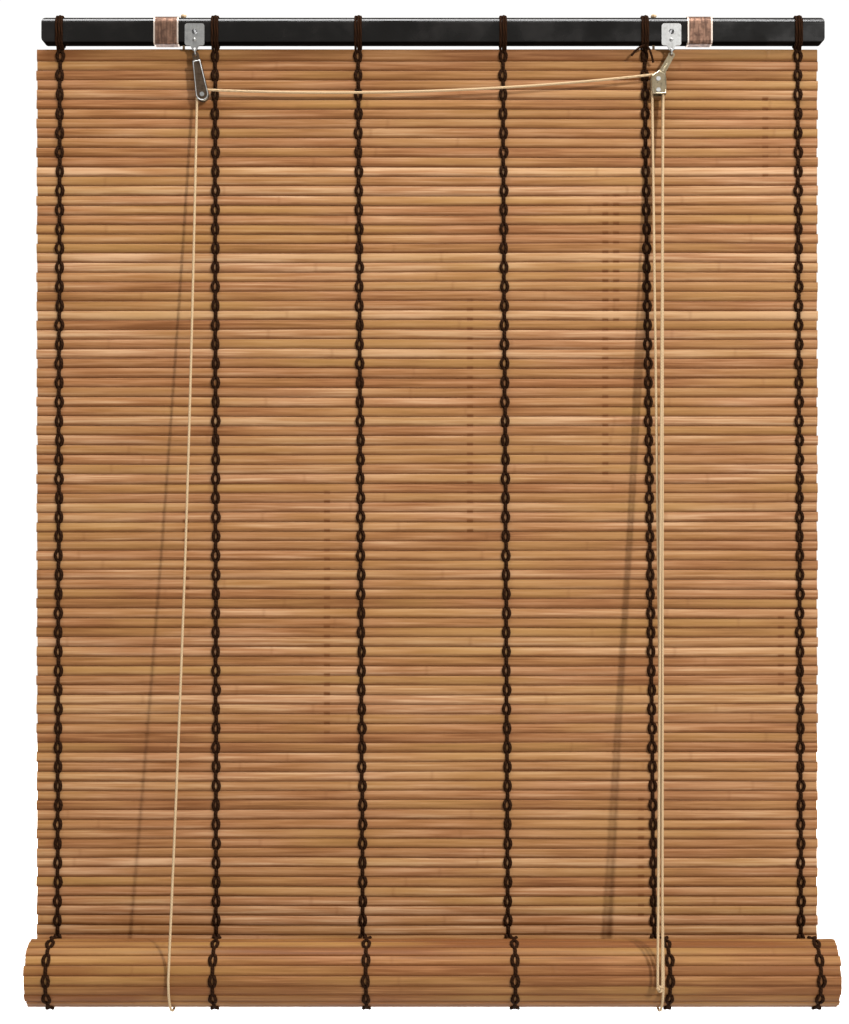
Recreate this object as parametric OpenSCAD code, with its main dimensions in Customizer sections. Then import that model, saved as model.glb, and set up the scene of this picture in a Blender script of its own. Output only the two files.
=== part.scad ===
// Bamboo roll-up blind, half raised: a lacquered head rail, a mat of split bamboo slats that
// hangs from it on six columns of warp string, and the rest of the mat wound up in front in a
// roll. Two lift cords pass under the roll and run over a pulley and a cord lock.
// Millimetres. X runs to the right, Z up, and the front of the blind faces -Y.
// The origin lies on the back of the rail, half way between the two wall screws.

/* [Head rail] */
// Length of the head rail and of the slats
rail_l = 600; // [400:5:1500]
// Height of the head rail
rail_h = 20.5; // [18:0.5:40]
// Depth of the head rail from the wall to the front
rail_t = 12; // [10:0.5:20]
// Rounding of the rail's corners seen from the front
rail_corner = 4; // [1:0.5:8]
// Distance from the middle of the rail down to the wall screws
screw_drop = 2; // [0:0.5:4]
// Diameter of a wall screw hole
screw_d = 4.2; // [3:0.1:6]

/* [Hanger straps] */
// Distance from the end of the rail to the middle of a strap
strap_in = 95.5; // [50:0.5:150]
// Distance from a wall screw out to the middle of a strap
strap_out = 22; // [20:0.5:40]
// Width of a strap
strap_w = 19; // [10:0.5:20]
// Thickness of the strap metal
strap_t = 0.8; // [0.5:0.1:1.5]

/* [Pulley plates] */
// Width of a plate
plate_w = 15; // [10:0.5:18]
// Height of a plate without its tongue
plate_h = 17; // [14:0.5:24]
// Distance that a plate reaches below the rail
plate_low = 2.5; // [1:0.1:3]
// Thickness of a plate
plate_t = 1; // [0.6:0.1:2]
// Rounding of a plate's corners
plate_corner = 2; // [0.5:0.1:4]
// Distance from the wall screw down to the nail
nail_drop = 6.2; // [5:0.1:7]
// Diameter of a nail
nail_d = 1.8; // [1:0.1:2.4]
// Length of a nail
nail_l = 7; // [5:0.1:9]
// Distance from the plate's lower edge to the hole in the tongue
tongue_drop = 2.25; // [2:0.05:5]

/* [Slats] */
// Width of one slat
slat_w = 6.8; // [4:0.1:12]
// Gap between two slats
slat_gap = 0.58; // [0.5:0.01:1.5]
// Thickness of one slat
slat_t = 1.4; // [1:0.1:3]
// Chamfer along the front edges of a slat
slat_edge = 0.3; // [0.1:0.05:0.5]
// Number of slats that hang above the roll
slat_n = 95; // [20:1:119]
// Distance from the rail down to the first slat
mat_drop = 5.5; // [2:0.1:15]
// Sideways offset of the hanging mat from the middle of the rail
mat_shift = -4.5; // [-10:0.5:10]

/* [Warp strings] */
// Distance from the end of a slat to the outer column of strings
warp_edge = 16; // [8:0.5:40]
// Distance from the left wall screw in to the next column of strings
left_warp_in = 14; // [12:0.5:24]
// Distance from the right wall screw in to the next column of strings
right_warp_in = 18.5; // [18:0.5:24]
// Thickness of a string pressed flat on a slat
warp_t = 0.5; // [0.3:0.05:0.8]
// Width of a string pressed flat on a slat
warp_w = 2; // [1:0.1:2.4]
// Gap between the single string of a column and each strand of its pair
warp_open = 0.4; // [0.3:0.05:0.8]
// Thickness of a string where it loops round the rail
tie_t = 1; // [0.6:0.1:1.5]
// Radius of the knot on a rail tie
tie_knot_r = 1.9; // [1.5:0.1:3]

/* [Roll] */
// Outside diameter of the roll over the slats
roll_d = 52.2; // [40:0.2:90]
// Distance from one turn of the roll to the next
roll_turn = 2.4; // [2.2:0.1:4]
// Diameter of the dowel in the core
dowel_d = 9.2; // [8:0.1:14]
// Sideways offset of the roll from the middle of the rail
roll_shift = 1; // [-10:0.5:10]

/* [Wheels and pins] */
// Outside diameter of the pulley wheels
wheel_d = 8.4; // [7:0.1:14]
// Depth of a wheel groove
groove = 1.2; // [1:0.1:2]
// Width of one groove with its share of the flanges
groove_w = 3.2; // [3:0.1:5]
// Diameter of the axle pins
pin_d = 2; // [1.4:0.1:3]
// Thickness of the pulley cheeks
cheek_t = 0.8; // [0.5:0.1:1.5]
// Wire diameter of the rings that the pulleys hang on
ring_wire = 1.1; // [0.8:0.1:1.4]
// Diameter of those rings along the middle of the wire
ring_d = 5.2; // [5:0.1:8]

/* [Left pulley] */
// Distance from the left tongue hole to the wheel, sideways
pulley_dx = 6; // [2:0.5:12]
// Distance from the left tongue hole down to the wheel
pulley_dz = 35.5; // [24:0.5:45]

/* [Cord lock] */
// Distance from the right tongue hole to the wheel, sideways
lock_dx = 10.5; // [8:0.5:14]
// Distance from the right tongue hole down to the wheel
lock_dz = 24; // [19:0.5:30]
// Distance from the lock wheel down to the cam pin
cam_drop = 8.5; // [8:0.1:12]
// Radius of the cam round its pin
cam_r = 1.6; // [1.4:0.1:2]
// Reach of the cam's nose
cam_reach = 2.6; // [2:0.1:2.7]

/* [Cords] */
// Diameter of the lift and pull cords
cord_d = 1.9; // [1.4:0.1:2]
// Distance from the left wall screw out to the left lift cord
left_cord_out = 9.5; // [9:0.1:9.8]
// Distance from the right wall screw in to the right lift cord
right_cord_in = 12.5; // [11:0.1:13]
// Sag of the cord between the pulley and the lock
cross_sag = 7; // [1:0.5:12]
// Radius of the knots at the upper ends of the lift cords
cord_knot_r = 2; // [1.8:0.1:2.2]
// Radius of the knot at the end of the pull cords
pull_knot_r = 2.6; // [2.4:0.1:4]

/* [Hidden] */
$fn = 48;
// Clearances: between a shaft and its bore, between pieces that pass, and where a string lies on
running = 0.05;
clear = 0.3;
seat = 0.03;

// Rail
rail_y = -rail_t / 2;
rail_front = -rail_t;
rail_top_r = rail_t / 2;
rail_foot_r = 1.5;
// Gap between the ends of a strap
strap_gap = 5;
rail_top = screw_drop + rail_h / 2;
rail_bottom = screw_drop - rail_h / 2;
strap_x = rail_l / 2 - strap_in;
screw_x = strap_x - strap_out;

// Mat
slat_step = slat_w + slat_gap;
mat_y = rail_y;
mat_top = rail_bottom - mat_drop;
mat_end = mat_top - slat_n * slat_step;
slat_stray = 0.8;
// Each strand of a pair lies beside the single string
warp_spread = warp_w + warp_open;
// Columns of warp string: one near each end of the slats, one beside each plate, two in between
warp_left = -screw_x + left_warp_in;
warp_right = screw_x - right_warp_in;
warp_at = [mat_shift - rail_l / 2 + warp_edge, warp_left, warp_left + (warp_right - warp_left) / 3,
    warp_right - (warp_right - warp_left) / 3, warp_right, mat_shift + rail_l / 2 - warp_edge];
function mat_column(k) = warp_at[k];
function roll_column(k) = warp_at[k] + roll_shift - mat_shift;

// Roll: its outermost slats lie in line with the hanging mat
roll_r = roll_d / 2 - slat_t / 2;
roll_y = mat_y - roll_r;
roll_z = mat_end;
core_r = dowel_d / 2 + slat_t / 2 + 0.5;
roll_len = PI * (roll_r * roll_r - core_r * core_r) / roll_turn;
roll_n = floor(roll_len / slat_step);
// Slats of the outer turn that show their strings
roll_shown = floor(PI * 1.6 * roll_r / slat_step);

// Lift cord: the sling under the roll clears the strings on its widest corners
sling_r = norm([roll_d / 2 + warp_t + seat, slat_w / 2]) + clear + cord_d / 2;
cord_back_y = roll_y + sling_r;
left_cord_x = -screw_x - left_cord_out;
right_cord_x = screw_x - right_cord_in;
cord_hole_r = cord_d / 2 + clear;

// Pulleys hang in the plane of the plates
pulley_y = rail_front - plate_t / 2;
plate_bottom = rail_bottom - plate_low;
tongue_z = plate_bottom - tongue_drop;
tongue_r = 2;
eye_r = ring_wire / 2 + 0.55;
eye_drop = ring_d;
wheel_r = wheel_d / 2;
wheel_w = groove_w + 0.4;
lock_wheel_w = 2 * groove_w;
wrap_r = wheel_r - groove + cord_d / 2 + running + 0.1;
left_wheel = [-screw_x + pulley_dx, pulley_y, tongue_z - pulley_dz];
lock_wheel_at = [screw_x - lock_dx, pulley_y, tongue_z - lock_dz];
cam_at = lock_wheel_at - [0, 0, cam_drop];
pulley_tilt = -atan2(pulley_dx, pulley_dz);
pulley_arm = norm([pulley_dx, pulley_dz]);
cheek_r = wheel_r + 0.7;

// Node names, and the one to draw

// Colours
BAMBOO = [0.78, 0.55, 0.33];
BAMBOO_DARK = [0.7, 0.47, 0.27];
LACQUER = [0.07, 0.05, 0.05];
BRONZE = [0.42, 0.28, 0.2];
ZINC = [0.72, 0.72, 0.7];
BRASS = [0.75, 0.65, 0.42];
STRING = [0.16, 0.1, 0.07];
CORD = [0.83, 0.74, 0.6];

// Points of an arc in a plane, from one angle to another
function arc(c, r, from, to, n = 8) =
    [for (i = [0:n]) let(a = from + (to - from) * i / n) c + r * [cos(a), sin(a)]];

// Rail outline in the Y-Z plane, grown outwards by g: a half-round top and eased lower edges
function rail_outline(g) = concat(
    arc([rail_y, rail_top - rail_top_r], rail_top_r + g, 0, 180, 20),
    arc([rail_front + rail_foot_r, rail_bottom + rail_foot_r], rail_foot_r + g, 180, 270, 4),
    arc([-rail_foot_r, rail_bottom + rail_foot_r], rail_foot_r + g, 270, 360, 4));

// A rectangle with round corners, from corner lo to corner hi
function round_rect(lo, hi, r) = concat(
    arc([hi[0] - r, hi[1] - r], r, 0, 90), arc([lo[0] + r, hi[1] - r], r, 90, 180),
    arc([lo[0] + r, lo[1] + r], r, 180, 270), arc([hi[0] - r, lo[1] + r], r, 270, 360));

// Extrudes a Y-Z outline along X, from x0 over a length
module along_x(x0, length) {
    translate([x0, 0, 0]) rotate([90, 0, 90]) linear_extrude(height = length) children();
}

// Extrudes an X-Z outline along Y, centred on y
module along_y(y, length) {
    translate([0, y + length / 2, 0]) rotate([90, 0, 0]) linear_extrude(height = length) children();
}

// A cylinder along Y, centred
module pin_y(r, length) {
    rotate([90, 0, 0]) cylinder(r = r, h = length, center = true);
}

// A round tube swept along a list of points that never runs along Y
function unit(v) = v / norm(v);
function heading(p, i) =
    unit(p[min(i + 1, len(p) - 1)] - p[max(i - 1, 0)]);
module tube(path, d, sides = 8) {
    rings = [for (i = [0:len(path) - 1])
        let(t = heading(path, i), u = unit(cross(t, [0, 1, 0])), v = cross(t, u))
        for (j = [0:sides - 1]) let(a = 360 * j / sides)
        path[i] + d / 2 * (cos(a) * u + sin(a) * v)];
    last = (len(path) - 1) * sides;
    skin = [for (i = [0:len(path) - 2], j = [0:sides - 1])
        let(k = (j + 1) % sides, a = i * sides, b = a + sides)
        each [[a + j, b + j, b + k], [a + j, b + k, a + k]]];
    start = [[for (j = [0:sides - 1]) j]];
    end = [[for (j = [sides - 1:-1:0]) last + j]];
    polyhedron(points = rings, faces = concat(skin, start, end));
}

// Head rail: a half-round topped batten with round ends, bored for the wall screws and the cords
module head_rail() {
    color(LACQUER)
    difference() {
        intersection() {
            along_x(-rail_l / 2, rail_l) polygon(rail_outline(0));
            along_y(rail_y, rail_t * 2) polygon(round_rect([-rail_l / 2, rail_bottom],
                [rail_l / 2, rail_top], rail_corner));
        }
        for (s = [-1, 1]) translate([s * screw_x, rail_y, 0]) pin_y(screw_d / 2, rail_t * 2);
        for (s = [-1, 1]) translate([s * screw_x, rail_front, -nail_drop]) pin_y(nail_d / 2, nail_l * 2);
        for (x = [left_cord_x, right_cord_x]) translate([x, cord_back_y, 0])
            cylinder(r = cord_hole_r, h = rail_h * 2, center = true);
    }
}

// A metal strip bent round the rail, whose ends stay a little apart behind
module strap(x) {
    color(BRONZE)
    difference() {
        along_x(x - strap_w / 2, strap_w) polygon(rail_outline(strap_t));
        along_x(x - strap_w, strap_w * 2) polygon(rail_outline(0));
        translate([x, strap_t / 2, 0]) cube([strap_w * 2, strap_t * 4, strap_gap], center = true);
    }
}
module left_strap() { strap(-strap_x); }
module right_strap() { strap(strap_x); }

// A plate with a screw hole, a nail hole and a tongue below the rail
module plate(x) {
    color(ZINC)
    translate([x, 0, 0])
    difference() {
        union() {
            along_y(pulley_y, plate_t) polygon(round_rect([-plate_w / 2, plate_bottom],
                [plate_w / 2, plate_bottom + plate_h], plate_corner));
            along_y(pulley_y, plate_t) polygon(concat(
                [[tongue_r * 2, plate_bottom + 1], [-tongue_r * 2, plate_bottom + 1]],
                arc([0, tongue_z], tongue_r, 190, 350)));
        }
        translate([0, pulley_y, 0]) pin_y(screw_d / 2, plate_t * 3);
        translate([0, pulley_y, -nail_drop]) pin_y(nail_d / 2, plate_t * 3);
        translate([0, pulley_y, tongue_z]) pin_y(eye_r, plate_t * 3);
    }
}
module left_plate() { plate(-screw_x); }
module right_plate() { plate(screw_x); }

// Nails with domed heads that hold the plates on the rail
module plate_nails() {
    color(ZINC)
    for (s = [-1, 1]) translate([s * screw_x, rail_front - plate_t, -nail_drop]) {
        difference() {
            sphere(r = nail_d * 0.8);
            translate([0, nail_d, 0]) cube(nail_d * 2, center = true);
        }
        translate([0, nail_l / 2, 0]) pin_y(nail_d / 2, nail_l);
    }
}

// A warp string looped twice round the rail, with its knot in front of the top edge
module rail_tie(k) {
    color(STRING)
    difference() {
        union() {
            for (s = [-1, 1]) along_x(mat_column(k) + s * warp_spread - warp_w / 2, warp_w)
                polygon(rail_outline(tie_t));
            translate([mat_column(k), rail_y - rail_top_r * 0.7, rail_top - rail_top_r * 0.3 + tie_t])
                sphere(r = tie_knot_r);
        }
        along_x(mat_column(k) - warp_spread * 3, warp_spread * 6) polygon(rail_outline(seat));
    }
}
module rail_tie_1() { rail_tie(0); }
module rail_tie_2() { rail_tie(1); }
module rail_tie_3() { rail_tie(2); }
module rail_tie_4() { rail_tie(3); }
module rail_tie_5() { rail_tie(4); }
module rail_tie_6() { rail_tie(5); }

// One slat in the Y-Z plane, flat behind and eased along its front edges
slat_outline = [[slat_t / 2, -slat_w / 2], [slat_t / 2, slat_w / 2],
    [-slat_t / 2 + slat_edge, slat_w / 2], [-slat_t / 2, slat_w / 2 - slat_edge],
    [-slat_t / 2, -slat_w / 2 + slat_edge], [-slat_t / 2 + slat_edge, -slat_w / 2]];
function slat_z(i) = mat_top - (i + 0.5) * slat_step;
// Slats were never trimmed quite even
function stray(i) = slat_stray * sin(i * 137);

// A string that runs down the mat and changes sides in each gap. It starts on side first
// (-1 is the front), and its two faces lie at distances near and far from the middle of the mat.
string_half = slat_gap * 0.38;
function gap_low(g, s, near, far) =
    let(z = mat_top - (g + 1) * slat_step) [[s * far, z - string_half], [-s * near, z - string_half]];
function gap_high(g, s, near, far) =
    let(z = mat_top - (g + 1) * slat_step) [[s * near, z + string_half], [-s * far, z + string_half]];
function flip(g) = g % 2 == 0 ? 1 : -1;
module string(x, w, first, near, far) {
    top = rail_bottom - tie_t - seat;
    end = mat_end + slat_gap / 2;
    s = first * flip(slat_n - 1);
    one = [for (g = [0:slat_n - 2]) each g % 2 == 0
        ? gap_low(g, first * flip(g), near, far) : gap_high(g, first * flip(g), near, far)];
    two = [for (g = [0:slat_n - 2]) each g % 2 == 0
        ? gap_high(g, first * flip(g), near, far) : gap_low(g, first * flip(g), near, far)];
    one_last = slat_n % 2 == 0 ? near : far;
    two_last = slat_n % 2 == 0 ? far : near;
    outline = concat([[first * far, top]], one, [[s * one_last, end], [s * two_last, end]],
        [for (i = [len(two) - 1:-1:0]) two[i]], [[first * near, top]]);
    translate([0, mat_y, 0]) along_x(x - w / 2, w) polygon(outline);
}

// The hanging slats, carried by the single string of each column
module slat_mat() {
    color(BAMBOO)
    union() {
        for (i = [0:slat_n - 1]) translate([0, mat_y, slat_z(i)])
            along_x(mat_shift + stray(i) - rail_l / 2, rail_l) polygon(slat_outline);
        for (k = [0:5]) string(mat_column(k), warp_w, 1, slat_t / 2 - 0.2, slat_t / 2 + warp_t);
    }
}

// The pair of strings of one column, on the front where the single string is behind
module warp_pair(k) {
    color(STRING)
    for (s = [-1, 1])
        string(mat_column(k) + s * warp_spread, warp_w, -1, slat_t / 2 + seat, slat_t / 2 + warp_t);
}
module warp_pair_1() { warp_pair(0); }
module warp_pair_2() { warp_pair(1); }
module warp_pair_3() { warp_pair(2); }
module warp_pair_4() { warp_pair(3); }
module warp_pair_5() { warp_pair(4); }
module warp_pair_6() { warp_pair(5); }

// Spiral of the roll: how far round, in degrees, and how far out a slat lies
function spiral_r(i) = sqrt(roll_r * roll_r - roll_turn * (i + 0.5) * slat_step / PI);
function spiral_a(i) = 360 * (roll_r - spiral_r(i)) / roll_turn;
// A point on slat i of the roll: across it from -1 to 1, and out from its middle by d
function on_slat(i, across, d) =
    let(a = spiral_a(i), out = [cos(a), -sin(a)], round = [-sin(a), -cos(a)])
    [roll_y, roll_z] + (spiral_r(i) + d) * out + across * slat_w / 2 * round;
// The thin wall that joins slat i of the roll to the next, d from the middle
function between(i, d) = (on_slat(i, 1, d) + on_slat(i + 1, -1, d)) / 2;

// The wound part of the mat: all its turns in one ridged wall
module slat_roll() {
    half = slat_t / 2;
    wall = slat_t * 0.2;
    outer = [for (i = [0:roll_n - 1]) each concat([on_slat(i, -1, half), on_slat(i, 1, half)],
        i < roll_n - 1 ? [between(i, wall)] : [])];
    inner = [for (i = [roll_n - 1:-1:0]) each concat([on_slat(i, 1, -half), on_slat(i, -1, -half)],
        i > 0 ? [between(i - 1, -wall)] : [])];
    color(BAMBOO_DARK)
    along_x(roll_shift - rail_l / 2, rail_l) polygon(concat(outer, inner));
}

// Rod in the core of the roll
module bottom_dowel() {
    color(BAMBOO_DARK)
    translate([roll_shift, roll_y, roll_z]) rotate([0, 90, 0])
        cylinder(d = dowel_d, h = rail_l, center = true);
}

// A string round the outer turn: thick on every second slat, and thin where it dips behind
module roll_string(x, odd) {
    half = slat_t / 2 + seat;
    dip = warp_t * 0.3;
    lower = [for (i = [0:roll_shown - 1]) each [on_slat(i, -1, half), on_slat(i, 1, half)]];
    upper = [for (i = [roll_shown - 1:-1:0])
        let(d = half + ((i + odd) % 2 == 0 ? warp_t : dip))
        each [on_slat(i, 0.97, d), on_slat(i, -0.97, d)]];
    along_x(x - warp_w / 2, warp_w) polygon(concat(lower, upper));
}
module roll_warp(k) {
    color(STRING) {
        roll_string(roll_column(k), 0);
        for (s = [-1, 1]) roll_string(roll_column(k) + s * warp_spread, 1);
    }
}
module roll_warp_1() { roll_warp(0); }
module roll_warp_2() { roll_warp(1); }
module roll_warp_3() { roll_warp(2); }
module roll_warp_4() { roll_warp(3); }
module roll_warp_5() { roll_warp(4); }
module roll_warp_6() { roll_warp(5); }

// The wire ring through a tongue and the eye of a pulley
module ring(x) {
    translate([x, pulley_y, tongue_z]) children();
}
module wire_ring() {
    color(ZINC)
    translate([0, 0, -ring_d / 2]) rotate([0, 90, 0])
        rotate_extrude() translate([ring_d / 2, 0]) circle(d = ring_wire);
}
module left_ring() { ring(-screw_x) rotate([0, pulley_tilt, 0]) wire_ring(); }
module right_ring() { ring(screw_x) wire_ring(); }

// The tang with the eye that hangs on the ring, from the eye down to z
tang_r = 2.6;
tang_t = 1.8;
module tang(foot) {
    along_y(0, tang_t) polygon(concat(arc([0, -eye_drop], tang_r, 0, 180, 12), foot));
}
module eye_cut() {
    translate([0, 0, -eye_drop]) pin_y(eye_r, tang_t * 3);
}

// Left pulley: a tapering fork that holds the wheel, drawn hanging straight below its ring
fork_top = eye_drop + tang_r + 1.5;
fork_gap = wheel_w + 2 * clear;
module pulley_frame() {
    side = (fork_gap + cheek_t) / 2;
    color(ZINC)
    ring(-screw_x) rotate([0, pulley_tilt, 0])
    difference() {
        union() {
            tang([[-tang_r, -fork_top - 1], [tang_r, -fork_top - 1]]);
            translate([0, 0, -fork_top - 0.6])
                cube([tang_r * 2 + 1, fork_gap + 2 * cheek_t, 1.2], center = true);
            for (s = [-1, 1]) along_y(s * side, cheek_t) polygon(concat(
                [[tang_r + 0.5, -fork_top], [-tang_r - 0.5, -fork_top]],
                arc([0, -pulley_arm], cheek_r, 170, 370, 16)));
        }
        eye_cut();
        translate([0, 0, -pulley_arm]) pin_y(pin_d / 2, fork_gap * 3);
    }
}

// A grooved wheel with n grooves on the Y axis
module wheel(n, w) {
    r = wheel_r - groove;
    step = w / n;
    grooves = [for (i = [0:n - 1]) let(m = -w / 2 + (i + 0.5) * step)
        each [[wheel_r, m - step / 2 + 0.35], [r, m - 0.65], [r, m + 0.65],
            [wheel_r, m + step / 2 - 0.35]]];
    rotate([90, 0, 0]) rotate_extrude() polygon(concat([[pin_d / 2 + running, -w / 2],
        [wheel_r, -w / 2]], grooves, [[wheel_r, w / 2], [pin_d / 2 + running, w / 2]]));
}
module pulley_wheel() {
    color(BRASS) translate(left_wheel) wheel(1, wheel_w);
}

// A riveted axle with a domed head on each side of a fork
module rivet(gap) {
    out = gap / 2 + cheek_t;
    pin_y(pin_d / 2, out * 2);
    for (s = [-1, 1]) translate([0, s * (out + 0.3), 0]) pin_y(pin_d * 0.85, 0.6);
}
module pulley_pin() {
    color(ZINC) translate(left_wheel) rivet(fork_gap);
}

// Cord lock: two cheeks round the wheel and the cam, a wall that the cam pinches the cords on,
// and a slanting tang up to the ring
lock_gap = lock_wheel_w + 2 * clear;
lock_r = wheel_r + 1.3;
lock_wall = wrap_r + cord_d / 2 + clear;
lock_foot = cam_drop + 3;
module lock_housing() {
    side = (lock_gap + cheek_t) / 2;
    w = [-lock_dx, -lock_dz];
    slant = unit([lock_dx, lock_dz - eye_drop]);
    across = [slant[1], -slant[0]];
    neck = w + slant * (lock_r + 0.2);
    cheek = concat([neck + across * 3, neck - across * 3],
        arc(w, lock_r, 150, 190, 6), [w + [-lock_r + 1, -lock_foot], w + [lock_wall + 0.8, -lock_foot],
        w + [lock_wall + 0.8, 0]]);
    color(BRASS)
    ring(screw_x)
    difference() {
        union() {
            tang([neck - across * 2.6 + slant * -1, neck + across * 2.6 + slant * -1]);
            along_y(0, lock_gap + 2 * cheek_t) polygon([neck + across * 3, neck - across * 3,
                neck - across * 3 + slant * 1.2, neck + across * 3 + slant * 1.2]);
            for (s = [-1, 1]) along_y(s * side, cheek_t) polygon(cheek);
            along_y(0, lock_gap + cheek_t) polygon(round_rect(w + [lock_wall, -lock_foot],
                w + [lock_wall + 0.8, -2], 0.2));
        }
        eye_cut();
        translate([w[0], 0, w[1]]) pin_y(pin_d / 2, lock_gap * 3);
        translate([w[0], 0, w[1] - cam_drop]) pin_y(pin_d / 2, lock_gap * 3);
    }
}
module lock_wheel() {
    color(ZINC) translate(lock_wheel_at) wheel(2, lock_wheel_w);
}
module lock_wheel_pin() {
    color(ZINC) translate(lock_wheel_at) rivet(lock_gap);
}
module lock_cam_pin() {
    color(ZINC) translate(cam_at) rivet(lock_gap);
}

// Toothed cam: its nose stands up, and swings right to pinch the cords
module lock_cam() {
    teeth = [for (i = [0:6]) let(a = 105 - 15 * i) each
        [cam_reach * [cos(a), sin(a)], (cam_reach - 0.3) * [cos(a - 7), sin(a - 7)]]];
    color(BRASS) translate(cam_at)
    difference() {
        along_y(0, lock_wheel_w - 0.4) polygon(concat(
            [for (i = [len(teeth) - 1:-1:0]) teeth[i]], arc([0, 0], cam_r, 120, 355, 18)));
        pin_y(pin_d / 2 + running, lock_gap);
    }
}

// Where the lift cord leaves the sling in front: the tangent from a wheel at height z, depth y
function sling_up(y, z) =
    let(d = norm([y - roll_y, z - roll_z])) acos(sling_r / d) - atan2(y - roll_y, z - roll_z);
function sling_end(x, y, z) =
    let(a = sling_up(y, z)) [x, roll_y - sling_r * sin(a), roll_z + sling_r * cos(a)];
// Points round a wheel, from one angle to another, at depth y
function wrap(c, y, from, to, n) = [for (p = arc([c[0], c[2]], wrap_r, from, to, n)) [p[0], y, p[1]]];

lock_front_y = pulley_y - groove_w / 2;
lock_back_y = pulley_y + groove_w / 2;
cross_rise = atan2(lock_wheel_at[2] - left_wheel[2], lock_wheel_at[0] - left_wheel[0]);
// Angles on the two wheels where the sagging cord between them leaves and arrives
cross_dip = atan(4 * cross_sag / norm(lock_wheel_at - left_wheel));
cross_from = 90 + cross_rise - cross_dip;
cross_to = 90 + cross_rise + cross_dip;

// The back run of a lift cord, from its knot on the rail down to the sling
module cord_back(x) {
    top = rail_top + 1.7;
    color(CORD)
    union() {
        translate([x, cord_back_y, roll_z + seat]) cylinder(d = cord_d, h = top - roll_z - seat);
        translate([x, cord_back_y, top]) sphere(r = cord_knot_r);
    }
}
module left_cord_back() { cord_back(left_cord_x); }
module right_cord_back() { cord_back(right_cord_x); }

// The part of a lift cord that passes under the roll, up to where it leaves it in front
module cord_sling(x, y, z) {
    color(CORD)
    translate([x, roll_y, roll_z]) rotate([90, 0, 90]) rotate(90 + sling_up(y, z))
        rotate_extrude(angle = 270 - sling_up(y, z)) translate([sling_r, 0]) circle(d = cord_d);
}
module left_cord_sling() { cord_sling(left_cord_x, left_wheel[1], left_wheel[2]); }
module right_cord_sling() { cord_sling(right_cord_x, lock_back_y, lock_wheel_at[2]); }

// Left lift cord up the front and a quarter turn over the pulley wheel
module left_cord_front() {
    foot = sling_end(left_cord_x, left_wheel[1], left_wheel[2]);
    color(CORD) tube(concat([foot + [0, 0, seat]],
        wrap(left_wheel, left_wheel[1], 180, cross_from, 6)), cord_d);
}

// From the pulley across to the lock with a sag, and a quarter turn over the front groove
module cross_cord() {
    leave = wrap(left_wheel, left_wheel[1], cross_from, 0, 1)[0] + [seat, 0, 0];
    over = wrap(lock_wheel_at, lock_front_y, cross_to, 0, 6);
    n = 10;
    color(CORD) tube(concat([for (i = [0:n - 1]) let(t = i / n)
        leave + (over[0] - leave) * t - [0, 0, 4 * cross_sag * t * (1 - t)]], over), cord_d);
}

// Right lift cord up the front and half a turn over the back groove
module right_cord_front() {
    foot = sling_end(right_cord_x, lock_back_y, lock_wheel_at[2]);
    color(CORD) tube(concat([foot + [0, 0, seat]],
        wrap(lock_wheel_at, lock_back_y, 180, 0, 12)), cord_d);
}

// The knot that ends the pull cords, in front of the right sling
pull_knot_at = [right_cord_x - 3, roll_y - sling_r - cord_d / 2 - pull_knot_r - 0.05, roll_z - 4];
module pull_knot() {
    color(CORD) translate(pull_knot_at) sphere(r = pull_knot_r);
}

// A pull cord from a groove of the lock wheel down to the knot
pull_apart = 1.7;
module pull_cord(y, side) {
    start = wrap(lock_wheel_at, y, 0, 10, 1)[0] - [0, 0, seat];
    end = pull_knot_at + [side * pull_apart, 0, sqrt(pull_knot_r ^ 2 - (pull_apart - 1) ^ 2) + 0.1];
    color(CORD) tube([start, start + (end - start) / 2, end], cord_d);
}
module pull_cord_a() { pull_cord(lock_front_y, -1); }
module pull_cord_b() { pull_cord(lock_back_y, 1); }

head_rail();
left_strap();
right_strap();
left_plate();
right_plate();
plate_nails();
rail_tie_1();
rail_tie_2();
rail_tie_3();
rail_tie_4();
rail_tie_5();
rail_tie_6();
slat_mat();
warp_pair_1();
warp_pair_2();
warp_pair_3();
warp_pair_4();
warp_pair_5();
warp_pair_6();
slat_roll();
bottom_dowel();
roll_warp_1();
roll_warp_2();
roll_warp_3();
roll_warp_4();
roll_warp_5();
roll_warp_6();
left_ring();
pulley_frame();
pulley_wheel();
pulley_pin();
right_ring();
lock_housing();
lock_wheel();
lock_wheel_pin();
lock_cam();
lock_cam_pin();
left_cord_back();
left_cord_sling();
left_cord_front();
cross_cord();
right_cord_back();
right_cord_sling();
right_cord_front();
pull_cord_a();
pull_cord_b();
pull_knot();
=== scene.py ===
"""Dresses the bamboo roll-up blind: slats, warp strings, cords, metal fittings and lacquer.

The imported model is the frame, in metres. X runs to the right, Z up, and the front faces -Y.
Slats, strings and cords are modelled here and stand for their plain solids; the rail and the
metal fittings stay as they are and get their finishes.
"""

import functools
import logging
import math
import random
from dataclasses import dataclass, field
from enum import Enum
from typing import Callable, Iterable, Sequence

import bpy
from mathutils import Matrix, Vector


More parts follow.
